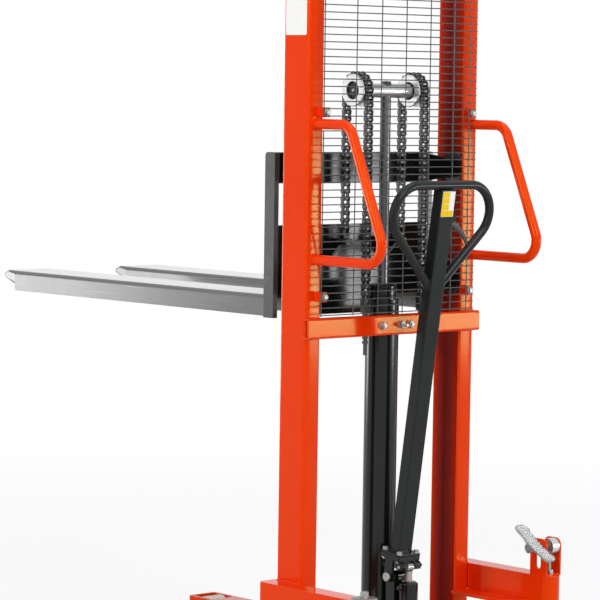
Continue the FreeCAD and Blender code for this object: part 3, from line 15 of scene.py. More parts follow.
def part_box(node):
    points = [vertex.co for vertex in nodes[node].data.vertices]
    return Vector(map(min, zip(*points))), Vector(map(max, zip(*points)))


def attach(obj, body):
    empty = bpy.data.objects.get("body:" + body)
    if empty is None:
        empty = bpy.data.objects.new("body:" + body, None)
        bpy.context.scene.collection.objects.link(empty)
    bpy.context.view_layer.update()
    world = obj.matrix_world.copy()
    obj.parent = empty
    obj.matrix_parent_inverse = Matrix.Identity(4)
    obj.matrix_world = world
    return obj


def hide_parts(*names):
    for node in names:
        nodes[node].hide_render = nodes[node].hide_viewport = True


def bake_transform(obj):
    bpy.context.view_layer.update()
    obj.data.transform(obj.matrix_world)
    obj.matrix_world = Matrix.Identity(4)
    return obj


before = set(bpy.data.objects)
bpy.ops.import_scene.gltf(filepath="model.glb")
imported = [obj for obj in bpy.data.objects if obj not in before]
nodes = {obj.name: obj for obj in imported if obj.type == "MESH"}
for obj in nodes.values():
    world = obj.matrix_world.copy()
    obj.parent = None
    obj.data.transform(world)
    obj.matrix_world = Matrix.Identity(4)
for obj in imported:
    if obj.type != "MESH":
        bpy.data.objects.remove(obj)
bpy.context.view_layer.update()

# %% [markdown]
# A maker measures such a machine from its mid-plane, from the middle of the masts and from the floor, in
# millimetres. The frame is in metres with its origin under the middle of the whole length. One matrix takes
# the maker's numbers to the frame, so every size below can be read as on a workshop drawing.

# %% Millimetres from the masts' middle to the frame
mast_low, mast_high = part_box("mast_left")
mast_y = (mast_low.y + mast_high.y) / 2
TO_FRAME = Matrix.Translation((0, mast_y, 0)) @ Matrix.Scale(0.001, 4)
print("the masts stand at y =", round(mast_y, 4), "m")

# %% [markdown]
# ## Camera
# The photograph was taken from behind and to the left with a long lens, which keeps the masts almost upright.
# The place, the two turns, the slight roll and the lens come from fitting mast, fork and bar edges.

# %% Camera
EYE = Vector((-5367.9, -5827.3, 1580.0))
LENS = 178.83
yaw, pitch, roll = radians(41.1306), radians(4.0780), radians(0.8406)
ahead = Vector((sin(yaw) * cos(pitch), cos(yaw) * cos(pitch), -sin(pitch)))
level = Vector((cos(yaw), -sin(yaw), 0))
upward = level.cross(ahead)
right = level * cos(roll) + upward * sin(roll)
top = upward * cos(roll) - level * sin(roll)
turn = Matrix((right, top, -ahead)).transposed().to_4x4()
camera = bpy.data.objects.new("camera", bpy.data.cameras.new("camera"))
bpy.context.scene.collection.objects.link(camera)
camera.matrix_world = Matrix.Translation(TO_FRAME @ EYE) @ turn
camera.data.lens = LENS
camera.data.sensor_width = 36
camera.data.clip_end = 200
bpy.context.scene.camera = camera
bpy.context.scene.view_settings.view_transform = "Standard"
print("camera at", [round(v, 3) for v in camera.matrix_world.translation])

# %% [markdown]
# ## Writing shaders as sums
# A finish is a web of small nodes. Placing each one by hand hides the idea, so a socket is wrapped in a class
# whose plus, minus and times add the Math nodes. `node` makes every other kind, and `mix` blends two colours.

# %% The Shade class
class Shade:
    """One output socket of a material's nodes."""

    def __init__(self, tree, socket=None):
        self.tree = tree
        self.socket = socket

    def node(self, kind, settings=(), sockets=(), take=0):
        """Adds a node: its settings first, a ramp's stops among them, then its sockets' values or links."""
        made = self.tree.nodes.new("ShaderNode" + kind)
        for key, value in dict(settings).items():
            if key != "stops":
                setattr(made, key, value)
                continue
            ramp = made.color_ramp.elements
            for index, (place, colour) in enumerate(value):
                stop = ramp[index] if index < len(ramp) else ramp.new(place)
                stop.position = place
                stop.color = colour
        for key, value in dict(sockets).items():
            if isinstance(value, Shade):
                self.tree.links.new(value.socket, made.inputs[key])
            else:
                made.inputs[key].default_value = value
        return Shade(self.tree, made.outputs[take] if made.outputs else None)

    def math(self, operation, first, second):
        return self.node("Math", {"operation": operation}, {0: first, 1: second})

    def __add__(self, other):
        return self.math("ADD", self, other)

    def __radd__(self, other):
        return self.math("ADD", other, self)

    def __sub__(self, other):
        return self.math("SUBTRACT", self, other)

    def __rsub__(self, other):
        return self.math("SUBTRACT", other, self)

    def __mul__(self, other):
        return self.math("MULTIPLY", self, other)

    def __rmul__(self, other):
        return self.math("MULTIPLY", other, self)

    def mix(self, none, full):
        """A colour that goes from none to full as this value goes from 0 to 1."""
        return self.node("Mix", {"data_type": "RGBA"}, {0: self, 6: none, 7: full}, 2)

    def band(self, low, high):
        """0 below low, 1 above high, and a soft rise between them."""
        return self.node("MapRange", {"interpolation_type": "SMOOTHSTEP"}, {0: self, 1: low, 2: high})


def rgb(*levels):
    """A colour given as a picture shows it, 0 to 255, as the linear colour that shaders use."""
    parts = [level / 255 for level in levels]
    return tuple(p / 12.92 if p < 0.04045 else ((p + 0.055) / 1.055) ** 2.4 for p in parts) + (1,)


print("mid grey is", [round(v, 3) for v in rgb(128, 128, 128)])

# %% [markdown]
# ## White room
# The machine stands on a pale floor in a white studio. The sky is white to the eye and in reflections, and
# weaker for the light that falls on the paint, so the lamps can shape the faces. The floor is part lit and
# part glowing for the same rays: it stays white, and still darkens in the machine's shadow.

# %% Sky and floor
def seen(start):
    """1 for rays that the eye follows: straight, by a reflection or through glass."""
    rays = [start.node("LightPath", take=f"Is {kind} Ray") for kind in ("Camera", "Glossy", "Transmission")]
    return start.math("MINIMUM", rays[0] + rays[1] + rays[2], 1.0)


world = bpy.data.worlds.new("studio")
bpy.context.scene.world = world
world.use_nodes = True
world.node_tree.nodes.clear()
sky = Shade(world.node_tree)
SKY = 0.2
glow = sky.node("Background", {}, {"Color": (1, 1, 1, 1), "Strength": SKY + seen(sky) * (1 - SKY)})
sky.node("OutputWorld", {}, {"Surface": glow})

FLOOR = 40
floor_mesh = bpy.data.meshes.new("studio_floor")
corners = [(-FLOOR, -FLOOR, 0), (FLOOR, -FLOOR, 0), (FLOOR, FLOOR, 0), (-FLOOR, FLOOR, 0)]
floor_mesh.from_pydata(corners, [], [(0, 1, 2, 3)])
floor = bpy.data.objects.new("studio_floor", floor_mesh)
bpy.context.scene.collection.objects.link(floor)
pale = bpy.data.materials.new("studio_floor")
pale.use_nodes = True
pale.node_tree.nodes.clear()
ground = Shade(pale.node_tree)
lit = ground.node("BsdfDiffuse", {}, {"Color": (0.85, 0.85, 0.85, 1)})
place = ground.node("TexCoord", take="Object")
away = ground.node("VectorMath", {"operation": "LENGTH"}, {0: place}, "Value")
shine = ground.node("Emission", {}, {"Color": (1, 1, 1, 1), "Strength": 1.1 + away.band(1.5, 7.0) * 0.2})
SHINE_SHARE = 0.75
blended = ground.node("MixShader", {}, {0: seen(ground) * SHINE_SHARE, 1: lit, 2: shine})
ground.node("OutputMaterial", {}, {"Surface": blended})
floor_mesh.materials.append(pale)
print("floor", 2 * FLOOR, "m across")

# %% [markdown]
# Soft boxes shape the machine. The largest hangs above, because in the photograph the tops of beams and forks
# are the palest faces. A wide one and a narrow strip stand far out on the left: the strip draws the thin pale
# lines along tubes and folded corners. One high behind and one low on the right light the faces that look back,
# the second as a reflection too, and one in front on the left is mirrored in the forks' sides.

# %% Soft boxes
AIM = TO_FRAME @ Vector((0, 100, 1000))
LAMPS = (
    ("lamp_over", (-300, -900, 5200), 3.6, 3.6, 88),
    ("lamp_left", (-4700, -800, 2900), 2.2, 2.2, 88),
    ("lamp_strip", (-4600, -300, 1900), 0.08, 2.8, 24),
    ("lamp_right", (3560, -3850, 900), 1.6, 0.9, 60),
    ("lamp_back", (-800, -5600, 4300), 2.4, 2.4, 132),
    ("lamp_fork", (-2800, 5700, 800), 2.2, 1.4, 75))


def soft_box(name, place, wide, tall, watts):
    """A lamp that looks at the middle of the machine."""
    lamp = bpy.data.lights.new(name, "AREA")
    lamp.shape = "RECTANGLE"
    lamp.size = wide
    lamp.size_y = tall
    lamp.energy = watts
    box = bpy.data.objects.new(name, lamp)
    place = TO_FRAME @ Vector(place)
    box.location = place
    box.rotation_euler = (AIM - place).to_track_quat("-Z", "Y").to_euler()
    bpy.context.scene.collection.objects.link(box)


for lamp in LAMPS:
    soft_box(*lamp)
print(len(LAMPS), "soft boxes")

# %% [markdown]
# ## Finishes
# Each finish starts from the piece's own coordinates, in metres, so its grain has a true size and moves with
# the piece. The helpers that come back are cloudy grain, grain drawn out into streaks, edges that are eased as a
# file or a thick coat of paint eases them, and a bump from a height.

# %% Helpers for finishes
FINISHES = {}


def open_finish(name):
    """Starts a finish and gives the coordinates of the piece that wears it."""
    material = bpy.data.materials.new(name)
    material.use_nodes = True
    material.node_tree.nodes.clear()
    FINISHES[name] = material
    return Shade(material.node_tree).node("TexCoord", take="Object")


def grain(at, size, detail=2.0):
    """Cloudy values from 0 to 1 in lumps of about this size, in metres."""
    return at.node("TexNoise", {}, {"Vector": at, "Scale": 1 / size, "Detail": detail})


def streaks(at, scale, detail=3.0):
    """Grain with this many lumps in a metre along each axis."""
    placed = at.node("Mapping", {}, {"Vector": at, "Scale": scale})
    return at.node("TexNoise", {}, {"Vector": placed, "Scale": 1.0, "Detail": detail})


def coordinate(at, axis):
    """One coordinate of a place or a direction."""
    return at.node("SeparateXYZ", {}, {0: at}, axis)


def eased(at, radius):
    """The normal with edges eased to a radius, and a mask of those edges."""
    soft = at.node("Bevel", {"samples": 6}, {"Radius": radius})
    flat = at.node("NewGeometry", take="Normal")
    along = at.node("VectorMath", {"operation": "DOT_PRODUCT"}, {0: soft, 1: flat}, "Value")
    return soft, (1 - along).band(0.03, 0.3)


def bumped(at, height, depth, normal):
    """The normal over a relief of this depth, in metres."""
    return at.node("Bump", {}, {"Strength": 1.0, "Distance": depth, "Height": height, "Normal": normal})


def close_finish(at, colour, rough, normal, fixed=()):
    """Puts the shader on: what varies goes in three sockets, and fixed values are set directly."""
    shader = at.node("BsdfPrincipled", {}, {
        "Base Color": colour, "Roughness": rough, "Normal": normal, **dict(fixed)})
    at.node("OutputMaterial", {}, {"Surface": shader})


print("helpers ready")

# %% [markdown]
# Masts, base and handles wear an orange-red powder coat. Powder melts into a film with the faint dimples of an
# orange's skin. Sharp edges are painted paler, partly as thin coat and partly as painted highlight. A plain
# glossy colour would do from afar; the dimples matter close up, where they break the reflections. The masts'
# rolled flanges are slightly crowned, which gathers a lamp's reflection into a streak. Inside the channels, where
# rollers run, painted shade darkens the coat to a dark red, and the coat is made rougher there.

# %% Orange powder coat
FLANGE_MIDDLE, PER_HALF_FLANGE = 0.279, 40


def powder_coat(name, channel_shade=None):
    """Orange coat; the second argument, if given, gives a mask of where painted shade darkens a mast's channel."""
    at = open_finish(name)
    soft, edge = eased(at, 0.0022)
    cloud = grain(at, 0.22)
    dimples = grain(at, 0.0035, 1.0)
    dust = grain(at, 0.05, 6.0).band(0.6, 0.9)
    colour = cloud.mix(rgb(228, 45, 3), rgb(234, 56, 5))
    # pale edges: partly thin coat, partly painted highlight
    colour = (edge * 0.35).mix(colour, rgb(246, 150, 80))
    colour = (dust * 0.04).mix(colour, rgb(214, 150, 110))
    rough = 0.1 + cloud * 0.04 + dust * 0.1
    normal = bumped(at, dimples, 0.00003, soft)
    if channel_shade:
        overlay = channel_shade(at)
        # painted shade: inside the channels the coat is darkened to a dark red, and made rougher
        colour = (overlay * (0.8 + cloud * 0.2)).mix(colour, rgb(168, 68, 64))
        rough = rough + overlay * 0.24
        normal = bumped(at, crown(at), 0.0016, normal)
    close_finish(at, colour, rough, normal, {"Specular IOR Level": 0.2, "Specular Tint": (0.7, 1.0, 0.2, 1)})


def channel_shade_mask(at):
    """1 where painted shade darkens a mast's channel, where rollers run: on the flanges past their lips, and on the
    web beside them.
    """
    x = at.math("ABSOLUTE", coordinate(at, "X"), 0)
    y = at.math("ABSOLUTE", coordinate(at, "Y") - mast_y, 0)
    past_lips = x.band(0.257, 0.269) * at.math("LESS_THAN", x, 0.2985)
    return past_lips * at.math("LESS_THAN", y, 0.0446) * y.band(0.012, 0.02)


def crown(at):
    """Rolled flanges are a little fuller in the middle of their width: 1 there, 0 at their edges."""
    x = at.math("ABSOLUTE", coordinate(at, "X"), 0)
    across = x * PER_HALF_FLANGE - FLANGE_MIDDLE * PER_HALF_FLANGE
    return 1 - across * across


powder_coat("orange_powder_coat")
# the masts' coat carries painted shade inside its channels
powder_coat("mast_coat_with_channel_shade", channel_shade_mask)
print("two orange coats")

# %% [markdown]
# The carriage, the cylinder and the pump are brushed with black gloss enamel. Enamel shows long brush and dip
# waves and picks up grey dust. The tiller's black is a little softer, and the carriage's uprights are charcoal,
# so one function mixes all three.

# %% Black enamels and charcoal paint
def enamel(name, dark, light, gloss, specular):
    at = open_finish(name)
    soft, edge = eased(at, 0.0018)
    waves = grain(at, 0.012, 1.0)
    cloud = grain(at, 0.15)
    dust = grain(at, 0.05, 6.0).band(0.55, 0.9)
    colour = cloud.mix(dark, light)
    # grey edges: partly wear, partly painted highlight
    colour = (edge * 0.3).mix(colour, rgb(120, 122, 120))
    colour = (dust * 0.03).mix(colour, rgb(150, 146, 138))
    rough = gloss + cloud * 0.08 + dust * 0.1
    close_finish(at, colour, rough, bumped(at, waves, 0.00006, soft), {"Specular IOR Level": specular})


enamel("black_enamel", rgb(15, 18, 18), rgb(22, 27, 26), 0.1, 0.28)
enamel("tiller_black", rgb(28, 33, 32), rgb(38, 44, 42), 0.05, 0.15)
enamel("charcoal_paint", rgb(66, 69, 67), rgb(80, 83, 81), 0.2, 0.3)
print("three enamels")

# %% [markdown]
# The forks carry a silver-grey paint with aluminium flakes in it. Flakes make the colour shift between grains
# and give a broad, soft sheen, so its grain is fine. Faces that look up are painted paler than the sides, as
# painted light from above, and are made a little smoother.

# %% Silver fork paint
at = open_finish("silver_fork_paint")
soft, edge = eased(at, 0.002)
flakes = grain(at, 0.0012, 1.0)
cloud = grain(at, 0.2)
scuffs = streaks(at, (220, 6, 220)).band(0.6, 0.75)
colour = flakes.mix(rgb(78, 80, 78), rgb(98, 100, 98))
colour = (cloud * 0.25).mix(colour, rgb(112, 113, 112))
# pale edges, partly wear and partly painted highlight, and pale scuffs of wear
colour = (edge * 0.3 + scuffs * 0.12).mix(colour, rgb(190, 190, 190))
facing_up = coordinate(at.node("NewGeometry", take="Normal"), "Z").band(0.9, 0.98)
# painted light from above: faces that look up are mixed toward near white
colour = (facing_up * 0.75).mix(colour, rgb(236, 236, 234))
rough = 0.17 + cloud * 0.08 - scuffs * 0.04 - facing_up * 0.08
close_finish(at, colour, rough, bumped(at, flakes, 0.00003, soft), {"Specular IOR Level": 0.6})
print("fork paint")

# %% [markdown]
# Pulleys, crosshead and axles are bright turned steel, nuts and bolts are zinc plated, and the pedal is a rough
# casting. A lathe leaves fine rings, but at arm's length they read as a soft, slightly streaky shine, so streaks
# in the roughness and a faint drift in the colour stand for them and tell the three apart.

# %% Turned steel, zinc plate and casting
def bright_metal(name, dull, clear, gloss, streak):
    at = open_finish(name)
    soft, edge = eased(at, 0.0012)
    fine = streaks(at, streak)
    cloud = grain(at, 0.03)
    colour = cloud.mix(dull, clear)
    # near-white edges: partly worn bright, partly painted glint
    colour = (edge * 0.5).mix(colour, rgb(245, 245, 244))
    rough = gloss + fine * 0.22 + cloud * 0.05
    close_finish(at, colour, rough, bumped(at, fine, 0.00002, soft), {"Metallic": 0.9})


bright_metal("turned_steel", rgb(182, 184, 186), rgb(212, 213, 214), 0.18, (900, 120, 120))
bright_metal("zinc_plate", rgb(132, 134, 133), rgb(172, 172, 168), 0.22, (300, 300, 300))
bright_metal("cast_pedal", rgb(138, 139, 136), rgb(166, 166, 162), 0.34, (420, 420, 420))
print("three bright metals")

# %% [markdown]
# The piston rod is hard chrome, ground before plating. It is nearly a mirror, with grinding lines round it
# and a thin film of oil that dulls it in bands.

# %% Chrome rod
at = open_finish("chrome_rod")
lines = streaks(at, (20, 20, 1400), 2.0)
overlay = grain(at, 0.05)
colour = overlay.mix(rgb(84, 87, 88), rgb(112, 115, 116))
soft = eased(at, 0.001)[0]
close_finish(at, colour, 0.22 + overlay * 0.08 + lines * 0.04, soft, {"Metallic": 1.0})
print("chrome")

# %% [markdown]
# Chain plates are blackened and oiled, while rollers and pin ends run bright. Two finishes on one piece give
# the glint on every link that the photograph shows.

# %% Oiled chain and bright rollers
def chain_metal(name, dark, light, gloss, metal):
    at = open_finish(name)
    soft, edge = eased(at, 0.0006)
    oil = grain(at, 0.009, 3.0)
    colour = oil.mix(dark, light)
    # pale edges: partly wear, partly painted glint
    colour = (edge * 0.7).mix(colour, rgb(176, 174, 170))
    close_finish(at, colour, gloss + oil * 0.2, bumped(at, oil, 0.00005, soft), {"Metallic": metal})


chain_metal("oiled_plate", rgb(52, 52, 52), rgb(84, 83, 81), 0.24, 0.8)
chain_metal("bright_roller", rgb(96, 97, 96), rgb(138, 138, 136), 0.26, 0.95)
print("chain finishes")

# %% [markdown]
# The rest is plastic: a black dip on the guard's wires, cast nylon wheels, black bearing seals, a moulded lever
# and vinyl stickers. Moulded surfaces share a soft sheen with fine pits, so one function takes their colours.

# %% Plastics
def plastic(name, dark, light, gloss, pit, deep, specular=0.4):
    at = open_finish(name)
    soft, edge = eased(at, 0.001)
    pits = grain(at, pit, 2.0)
    cloud = grain(at, 0.05)
    colour = cloud.mix(dark, light)
    # edges mixed toward pale grey: partly wear, partly painted highlight on the dark plastics
    colour = (edge * 0.2).mix(colour, rgb(200, 200, 196))
    close_finish(at, colour, gloss + pits * 0.15, bumped(at, pits, deep, soft), {"Specular IOR Level": specular})


plastic("wire_dip", rgb(58, 61, 60), rgb(74, 77, 75), 0.3, 0.002, 0.00004)
plastic("cast_nylon", rgb(214, 210, 194), rgb(228, 225, 212), 0.4, 0.003, 0.00005)
plastic("bearing_seal", rgb(18, 18, 18), rgb(28, 28, 28), 0.45, 0.0015, 0.00004)
plastic("lever_grey", rgb(50, 53, 52), rgb(66, 69, 68), 0.35, 0.0012, 0.00004)
plastic("white_vinyl", rgb(234, 233, 231), rgb(242, 241, 239), 0.32, 0.006, 0.00003)
plastic("yellow_vinyl", rgb(240, 197, 0), rgb(246, 205, 2), 0.36, 0.006, 0.00003, 0.1)
print(len(FINISHES), "finishes")

# %% [markdown]
# ## Painting the measured parts
# Most sub-parts already have their true shape, so they stay and only receive a finish. The list reads like a
# paint shop's order: each finish, then the parts it goes on.

# %% Paint the frame's parts
PAINT = {
    "orange_powder_coat": (
        "mast_top_tie base_cross_box base_plate leg_left leg_right base_beam_left base_beam_right base_gussets "
        "caster_fork_left caster_fork_right brake_bracket cross_bar mesh_tabs push_handle_left push_handle_right"),
    # the masts get the coat with painted shade inside its channels
    "mast_coat_with_channel_shade": "mast_left mast_right",
    "black_enamel": (
        "cylinder_tube cylinder_gland carriage_plate_upper carriage_plate_lower carriage_brackets tiller_yoke "
        "pump_body release_valve"),
    "tiller_black": "tiller_tube tiller_loop",
    "charcoal_paint": "carriage_uprights",
    "silver_fork_paint": "fork_left fork_right",
    "turned_steel": "load_axles brake_cam crosshead chain_pulley_left chain_pulley_right",
    "zinc_plate": (
        "swivel_cap brake_push_bolt cylinder_clamp frame_fasteners crosshead_fasteners yoke_fasteners "
        "chain_anchors pump_roller pump_plunger"),
    "cast_pedal": "brake_pedal",
    "chrome_rod": "piston_rod",
    "oiled_plate": (
        "chain_behind_left chain_behind_right chain_over_pulleys chain_front_left chain_front_right "
        "mast_rollers_upper mast_rollers_lower"),
    "wire_dip": "mesh_guard",
    "cast_nylon": "caster_wheel_left caster_wheel_right load_roller_left load_roller_right",
    "bearing_seal": "pulley_bearings",
    "lever_grey": "release_lever",
}
painted = 0
for finish, names in PAINT.items():
    for name in names.split():
        mesh = nodes[name].data
        mesh.materials.clear()
        mesh.materials.append(FINISHES[finish])
        painted += 1
print(painted, "of", len(nodes), "parts painted")

# %% [markdown]
# ## Working in mesh
# New pieces are drawn in the maker's millimetres. `skin` lays faces between rings of points, `capped` closes
# their ends too, and turned solids, chamfered plates and tubes along a path all rest on these two. `piece` moves
# the result to the frame, paints it and lets it ride on a body.

# %% Mesh helpers
SHARP = radians(38)


def skin(work, rings, loop=False):
    """Faces between each ring of points and the next; a ring of one point makes a fan."""
    following = rings[1:] + rings[:1] if loop else rings[1:]
    made = []
    for low, high in zip(rings, following):
        for k in range(max(len(low), len(high))):
            after = k + 1
            corners = (low[k % len(low)], low[after % len(low)], high[after % len(high)], high[k % len(high)])
            made.append(work.faces.new(list(dict.fromkeys(corners))))
    return made


def capped(work, rings):
    """A skin whose first and last rings are closed by a face each."""
    return skin(work, rings) + [work.faces.new(rings[0]), work.faces.new(rings[-1])]


def turned(work, profile, place, sides=24, loop=False):
    """A solid turned about its own Z from (radius, height) points; a loop closes on itself, as a ring does."""
    rings = []
    for radius, height in profile:
        count = sides if radius else 1
        angles = [2 * pi * k / sides for k in range(count)]
        rings.append([work.verts.new(place @ Vector((radius * cos(a), radius * sin(a), height))) for a in angles])
    return skin(work, rings, loop)


def piece(name, work, finishes, body, replaces=()):
    """Makes a piece of the drawn mesh, painted and riding on its body, in place of the parts it stands for."""
    bmesh.ops.recalc_face_normals(work, faces=work.faces)
    work.transform(TO_FRAME)
    mesh = bpy.data.meshes.new(name)
    work.to_mesh(mesh)
    work.free()
    mesh.shade_smooth()
    mesh.set_sharp_from_angle(angle=SHARP)
    for finish in finishes.split():
        mesh.materials.append(FINISHES[finish])
    obj = bpy.data.objects.new(name, mesh)
    bpy.context.scene.collection.objects.link(obj)
    if body:
        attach(obj, body)
    if replaces:
        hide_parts(*replaces)
    print(name, "has", len(mesh.polygons), "faces")
    return obj


def facing(direction, place):
    """A place whose own Z looks along a direction."""
    turn = Vector((0, 0, 1)).rotation_difference(Vector(direction)).to_matrix().to_4x4()
    return Matrix.Translation(place) @ turn


# %% [markdown]
# ## Roller chains
# The lift's two chains are this machine's finest work. A chain repeats two links: an inner one with a pair of
# bushed rollers between waisted plates, and an outer one whose plates are riveted on the pins. Each is drawn
# once, and then placed up the back, over the pulley and down the front.

# %% The two links
PITCH = 19.05
INNER_X = 6.3
PLATE = 2.4
OUTER_X = 8.9
CHAIN_X = 100
HALF_WIDE, HALF_LONG = 8.5, 17
BARREL = [(0, -6.1), (5.3, -6.1), (5.9, -5.5), (5.9, 5.5), (5.3, 6.1), (0, 6.1)]
PIN_END = [(3.0, -0.2), (3.0, 0.5), (2.3, 1.1), (1.2, 1.2), (0, 0.8)]


def waisted_outline(eye, tip, waist):
    """Half of a side plate's outline round one eye, mirrored to the other."""
    upper = [(eye * sin(radians(a)), PITCH / 2 + tip * cos(radians(a))) for a in range(-126, 127, 18)]
    lower = [(-x, -y) for x, y in upper]
    return upper + [(waist, 0)] + lower + [(-waist, 0)]


def side_plate(work, outline, start, end, chamfer=0.35):
    """A plate in the YZ plane with chamfered rims."""
    rings = []
    for x, inset in ((start, chamfer), (start + chamfer, 0), (end - chamfer, 0), (end, chamfer)):
        wide, long = 1 - inset / HALF_WIDE, 1 - inset / HALF_LONG
        rings.append([work.verts.new((x, y * wide, z * long)) for y, z in outline])
    capped(work, rings)


def link_mesh(inner):
    work = bmesh.new()
    near = INNER_X if inner else OUTER_X
    outline = waisted_outline(8.5, 7.6, 6.0) if inner else waisted_outline(7.9, 7.2, 5.4)
    for side in (-1, 1):
        start, end = sorted((side * near, side * (near + PLATE)))
        side_plate(work, outline, start, end)
    bright = []
    for z in (-PITCH / 2, PITCH / 2):
        if inner:
            bright += turned(work, BARREL, facing((1, 0, 0), (0, 0, z)), 18)
            continue
        for side in (-1, 1):
            bright += turned(work, PIN_END, facing((side, 0, 0), (side * (near + PLATE), 0, z)), 12)
    for face in bright:
        face.material_index = 1
    mesh = bpy.data.meshes.new("inner_link" if inner else "outer_link")
    work.to_mesh(mesh)
    work.free()
    return mesh


LINKS = [link_mesh(True), link_mesh(False)]
print("link faces", [len(mesh.polygons) for mesh in LINKS])

# %% [markdown]
# The links over a pulley turn with it by one seventh of a half circle each, the angle that lets the pins lie
# on the pitch circle. The straight runs are laid once between their anchors below and their pulleys above,
# and ride on no body.

# %% Lay the chains
PULLEY_Y, PULLEY_Z = -14.0, 1575.0
BEHIND, OVER, FRONT = 29, 7, 20
STEP = pi / OVER
PITCH_RADIUS = PITCH / (2 * sin(STEP / 2))


def lay(work, number, x, y, z, angle=0.0):
    """Adds link number of a chain; even numbers are inner links."""
    before = len(work.verts)
    work.from_mesh(LINKS[number % 2])
    work.verts.ensure_lookup_table()
    place = Matrix.Translation((x, y, z)) @ Matrix.Rotation(angle, 4, "X")
    bmesh.ops.transform(work, matrix=place, verts=work.verts[before:])


def chain_run(name, x, first, count, y, start, node):
    """A straight run of links upward from a height, laid in place of the measured run."""
    work = bmesh.new()
    for k in range(count):
        lay(work, first + k, x, y, start + (k + 0.5) * PITCH)
    run = piece(name, work, "oiled_plate bright_roller", None, (node,))
    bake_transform(run)


for side, x in (("left", -CHAIN_X), ("right", CHAIN_X)):
    anchor = PULLEY_Z - BEHIND * PITCH
    chain_run(f"chain_up_{side}", x, 0, BEHIND, PULLEY_Y - PITCH_RADIUS, anchor,
              f"chain_behind_{side}")
    hook = PULLEY_Z - FRONT * PITCH
    chain_run(f"chain_down_{side}", x, BEHIND + OVER + 1, FRONT, PULLEY_Y + PITCH_RADIUS, hook,
              f"chain_front_{side}")

work = bmesh.new()
for x in (-CHAIN_X, CHAIN_X):
    for k in range(OVER):
        angle = (k + 0.5) * STEP
        middle = PITCH_RADIUS * cos(STEP / 2)
        lay(work, BEHIND + k, x, PULLEY_Y - middle * cos(angle), PULLEY_Z + middle * sin(angle), -angle)
piece("chain_wrap", work, "oiled_plate bright_roller", "lift_rod", ("chain_over_pulleys",))

# %% [markdown]
# ## Wire guard
# A welded panel keeps hands out of the chains. Round wires lie across, uprights behind them are welded at every
# crossing, and the panel is cut out round the push handles. Straight wires need few faces, so each can be a
# true round bar with a small nugget of melted steel at the crossings.

# %% Wire guard
WIRE = 1.5
GUARD_Y = -75.0
HANDLE_X, HANDLE_R = 278.0, 13.5
HANDLES = (1136.0, 1487.0)
GUARD_STEP = 19.1
GUARD = [992 + GUARD_STEP * row for row in range(56)]
GUARD_HALF = 276.0
UPRIGHTS = [12.5 + 87.5 * k for k in range(-2, 3)] + [247.0]
UPRIGHT_Y, EDGE_X = GUARD_Y - 2.8, -274.5
CUT_OUT = HANDLE_R + 2 * WIRE
NUGGET = [(0, -1.2), (1.6, -0.7), (1.9, 0), (1.6, 0.7), (0, 1.2)]


def rod(work, start, end, radius, sides=8):
    """A straight round bar with slightly chamfered ends."""
    start, end = Vector(start), Vector(end)
    length = (end - start).length
    chamfer = 0.25 * radius
    profile = [(0, 0), (radius - chamfer, 0), (radius, chamfer), (radius, length - chamfer),
               (radius - chamfer, length), (0, length)]
    return turned(work, profile, facing(end - start, start), sides)


work = bmesh.new()
for z in GUARD:
    beside = min(abs(z - handle) for handle in HANDLES) < CUT_OUT
    half = HANDLE_X - CUT_OUT if beside else GUARD_HALF
    rod(work, (-half, GUARD_Y, z), (half, GUARD_Y, z), WIRE)
low, high = GUARD[0] - 3, GUARD[-1] + 3
for x in UPRIGHTS:
    rod(work, (x, UPRIGHT_Y, low), (x, UPRIGHT_Y, high), WIRE)
gaps = [low] + [handle + way * CUT_OUT for handle in HANDLES for way in (-1, 1)] + [high]
for start, end in zip(gaps[::2], gaps[1::2]):
    rod(work, (EDGE_X, UPRIGHT_Y, start), (EDGE_X, UPRIGHT_Y, end), WIRE)
for x in UPRIGHTS:
    for z in GUARD:
        turned(work, NUGGET, facing((0, 1, 0), (x, GUARD_Y - 1.4, z)), 6)
piece("wire_guard", work, "wire_dip", "frame", ("mesh_guard",))

# %% [markdown]
# ## Nuts, bolts and studs
# A nut is a hexagon whose corners are turned off by a cone, which leaves the curved chamfer lines that catch
# the light. Its outline is drawn point by point round a circle: the hexagon's radius at each angle, lowered
# where it stands out past the cone. Threads are stacked ridges at their true pitch.

# %% Nut, bolt and stud shapes
HEX_POINTS, CONE, DIMPLE = 36, tan(radians(28)), 0.6
WASHER = 1.8


def hexed(work, across, height, place, bore=0.0):
    """A hexagon nut, or a bolt's head where bore is 0, standing on its place and rising along its Z."""
    face, hole = across * 0.475, bore or across * 0.3
    rings = [[] for _ in range(6)]
    for k in range(HEX_POINTS):
        angle = 2 * pi * k / HEX_POINTS
        radius = across / 2 / cos((angle + pi / 6) % (pi / 3) - pi / 6)
        slope = (radius - face) * CONE
        profile = ((face, 0), (radius, slope * 0.4), (radius, height - slope), (face, height),
                   (hole, height), (hole - 0.5, height - DIMPLE))
        for ring, (r, z) in zip(rings, profile):
            ring.append(work.verts.new(place @ Vector((r * cos(angle), r * sin(angle), z))))
    rings.append([work.verts.new(place @ Vector((0, 0, height - DIMPLE)))])
    rings.insert(0, [work.verts.new(place @ Vector((0, 0, 0)))])
    skin(work, rings)


def thread(work, radius, length, place, pitch=1.5, sides=16):
    """A threaded stud along its place's Z, with a chamfered end."""
    profile = [(0, 0), (radius, 0)]
    count = int((length - pitch) / pitch)
    for k in range(count):
        profile += [(radius, (k + 0.25) * pitch), (radius * 0.87, (k + 0.75) * pitch)]
    profile += [(radius, length - 1.2), (radius * 0.75, length), (0, length)]
    turned(work, profile, place, sides)


def washer(work, radius, thick, place):
    profile = [(0, 0), (radius, 0), (radius, thick * 0.6), (radius - thick * 0.4, thick), (0, thick)]
    turned(work, profile, place, 28)


print("fastener shapes ready")

# %% [markdown]
# Three nuts sit on the bar behind the cylinder: two pull the clamp round it tight, and the long stud between
# them is the stop that keeps the cylinder off the bar. Six hexagon bolts hold the guard on its tabs.

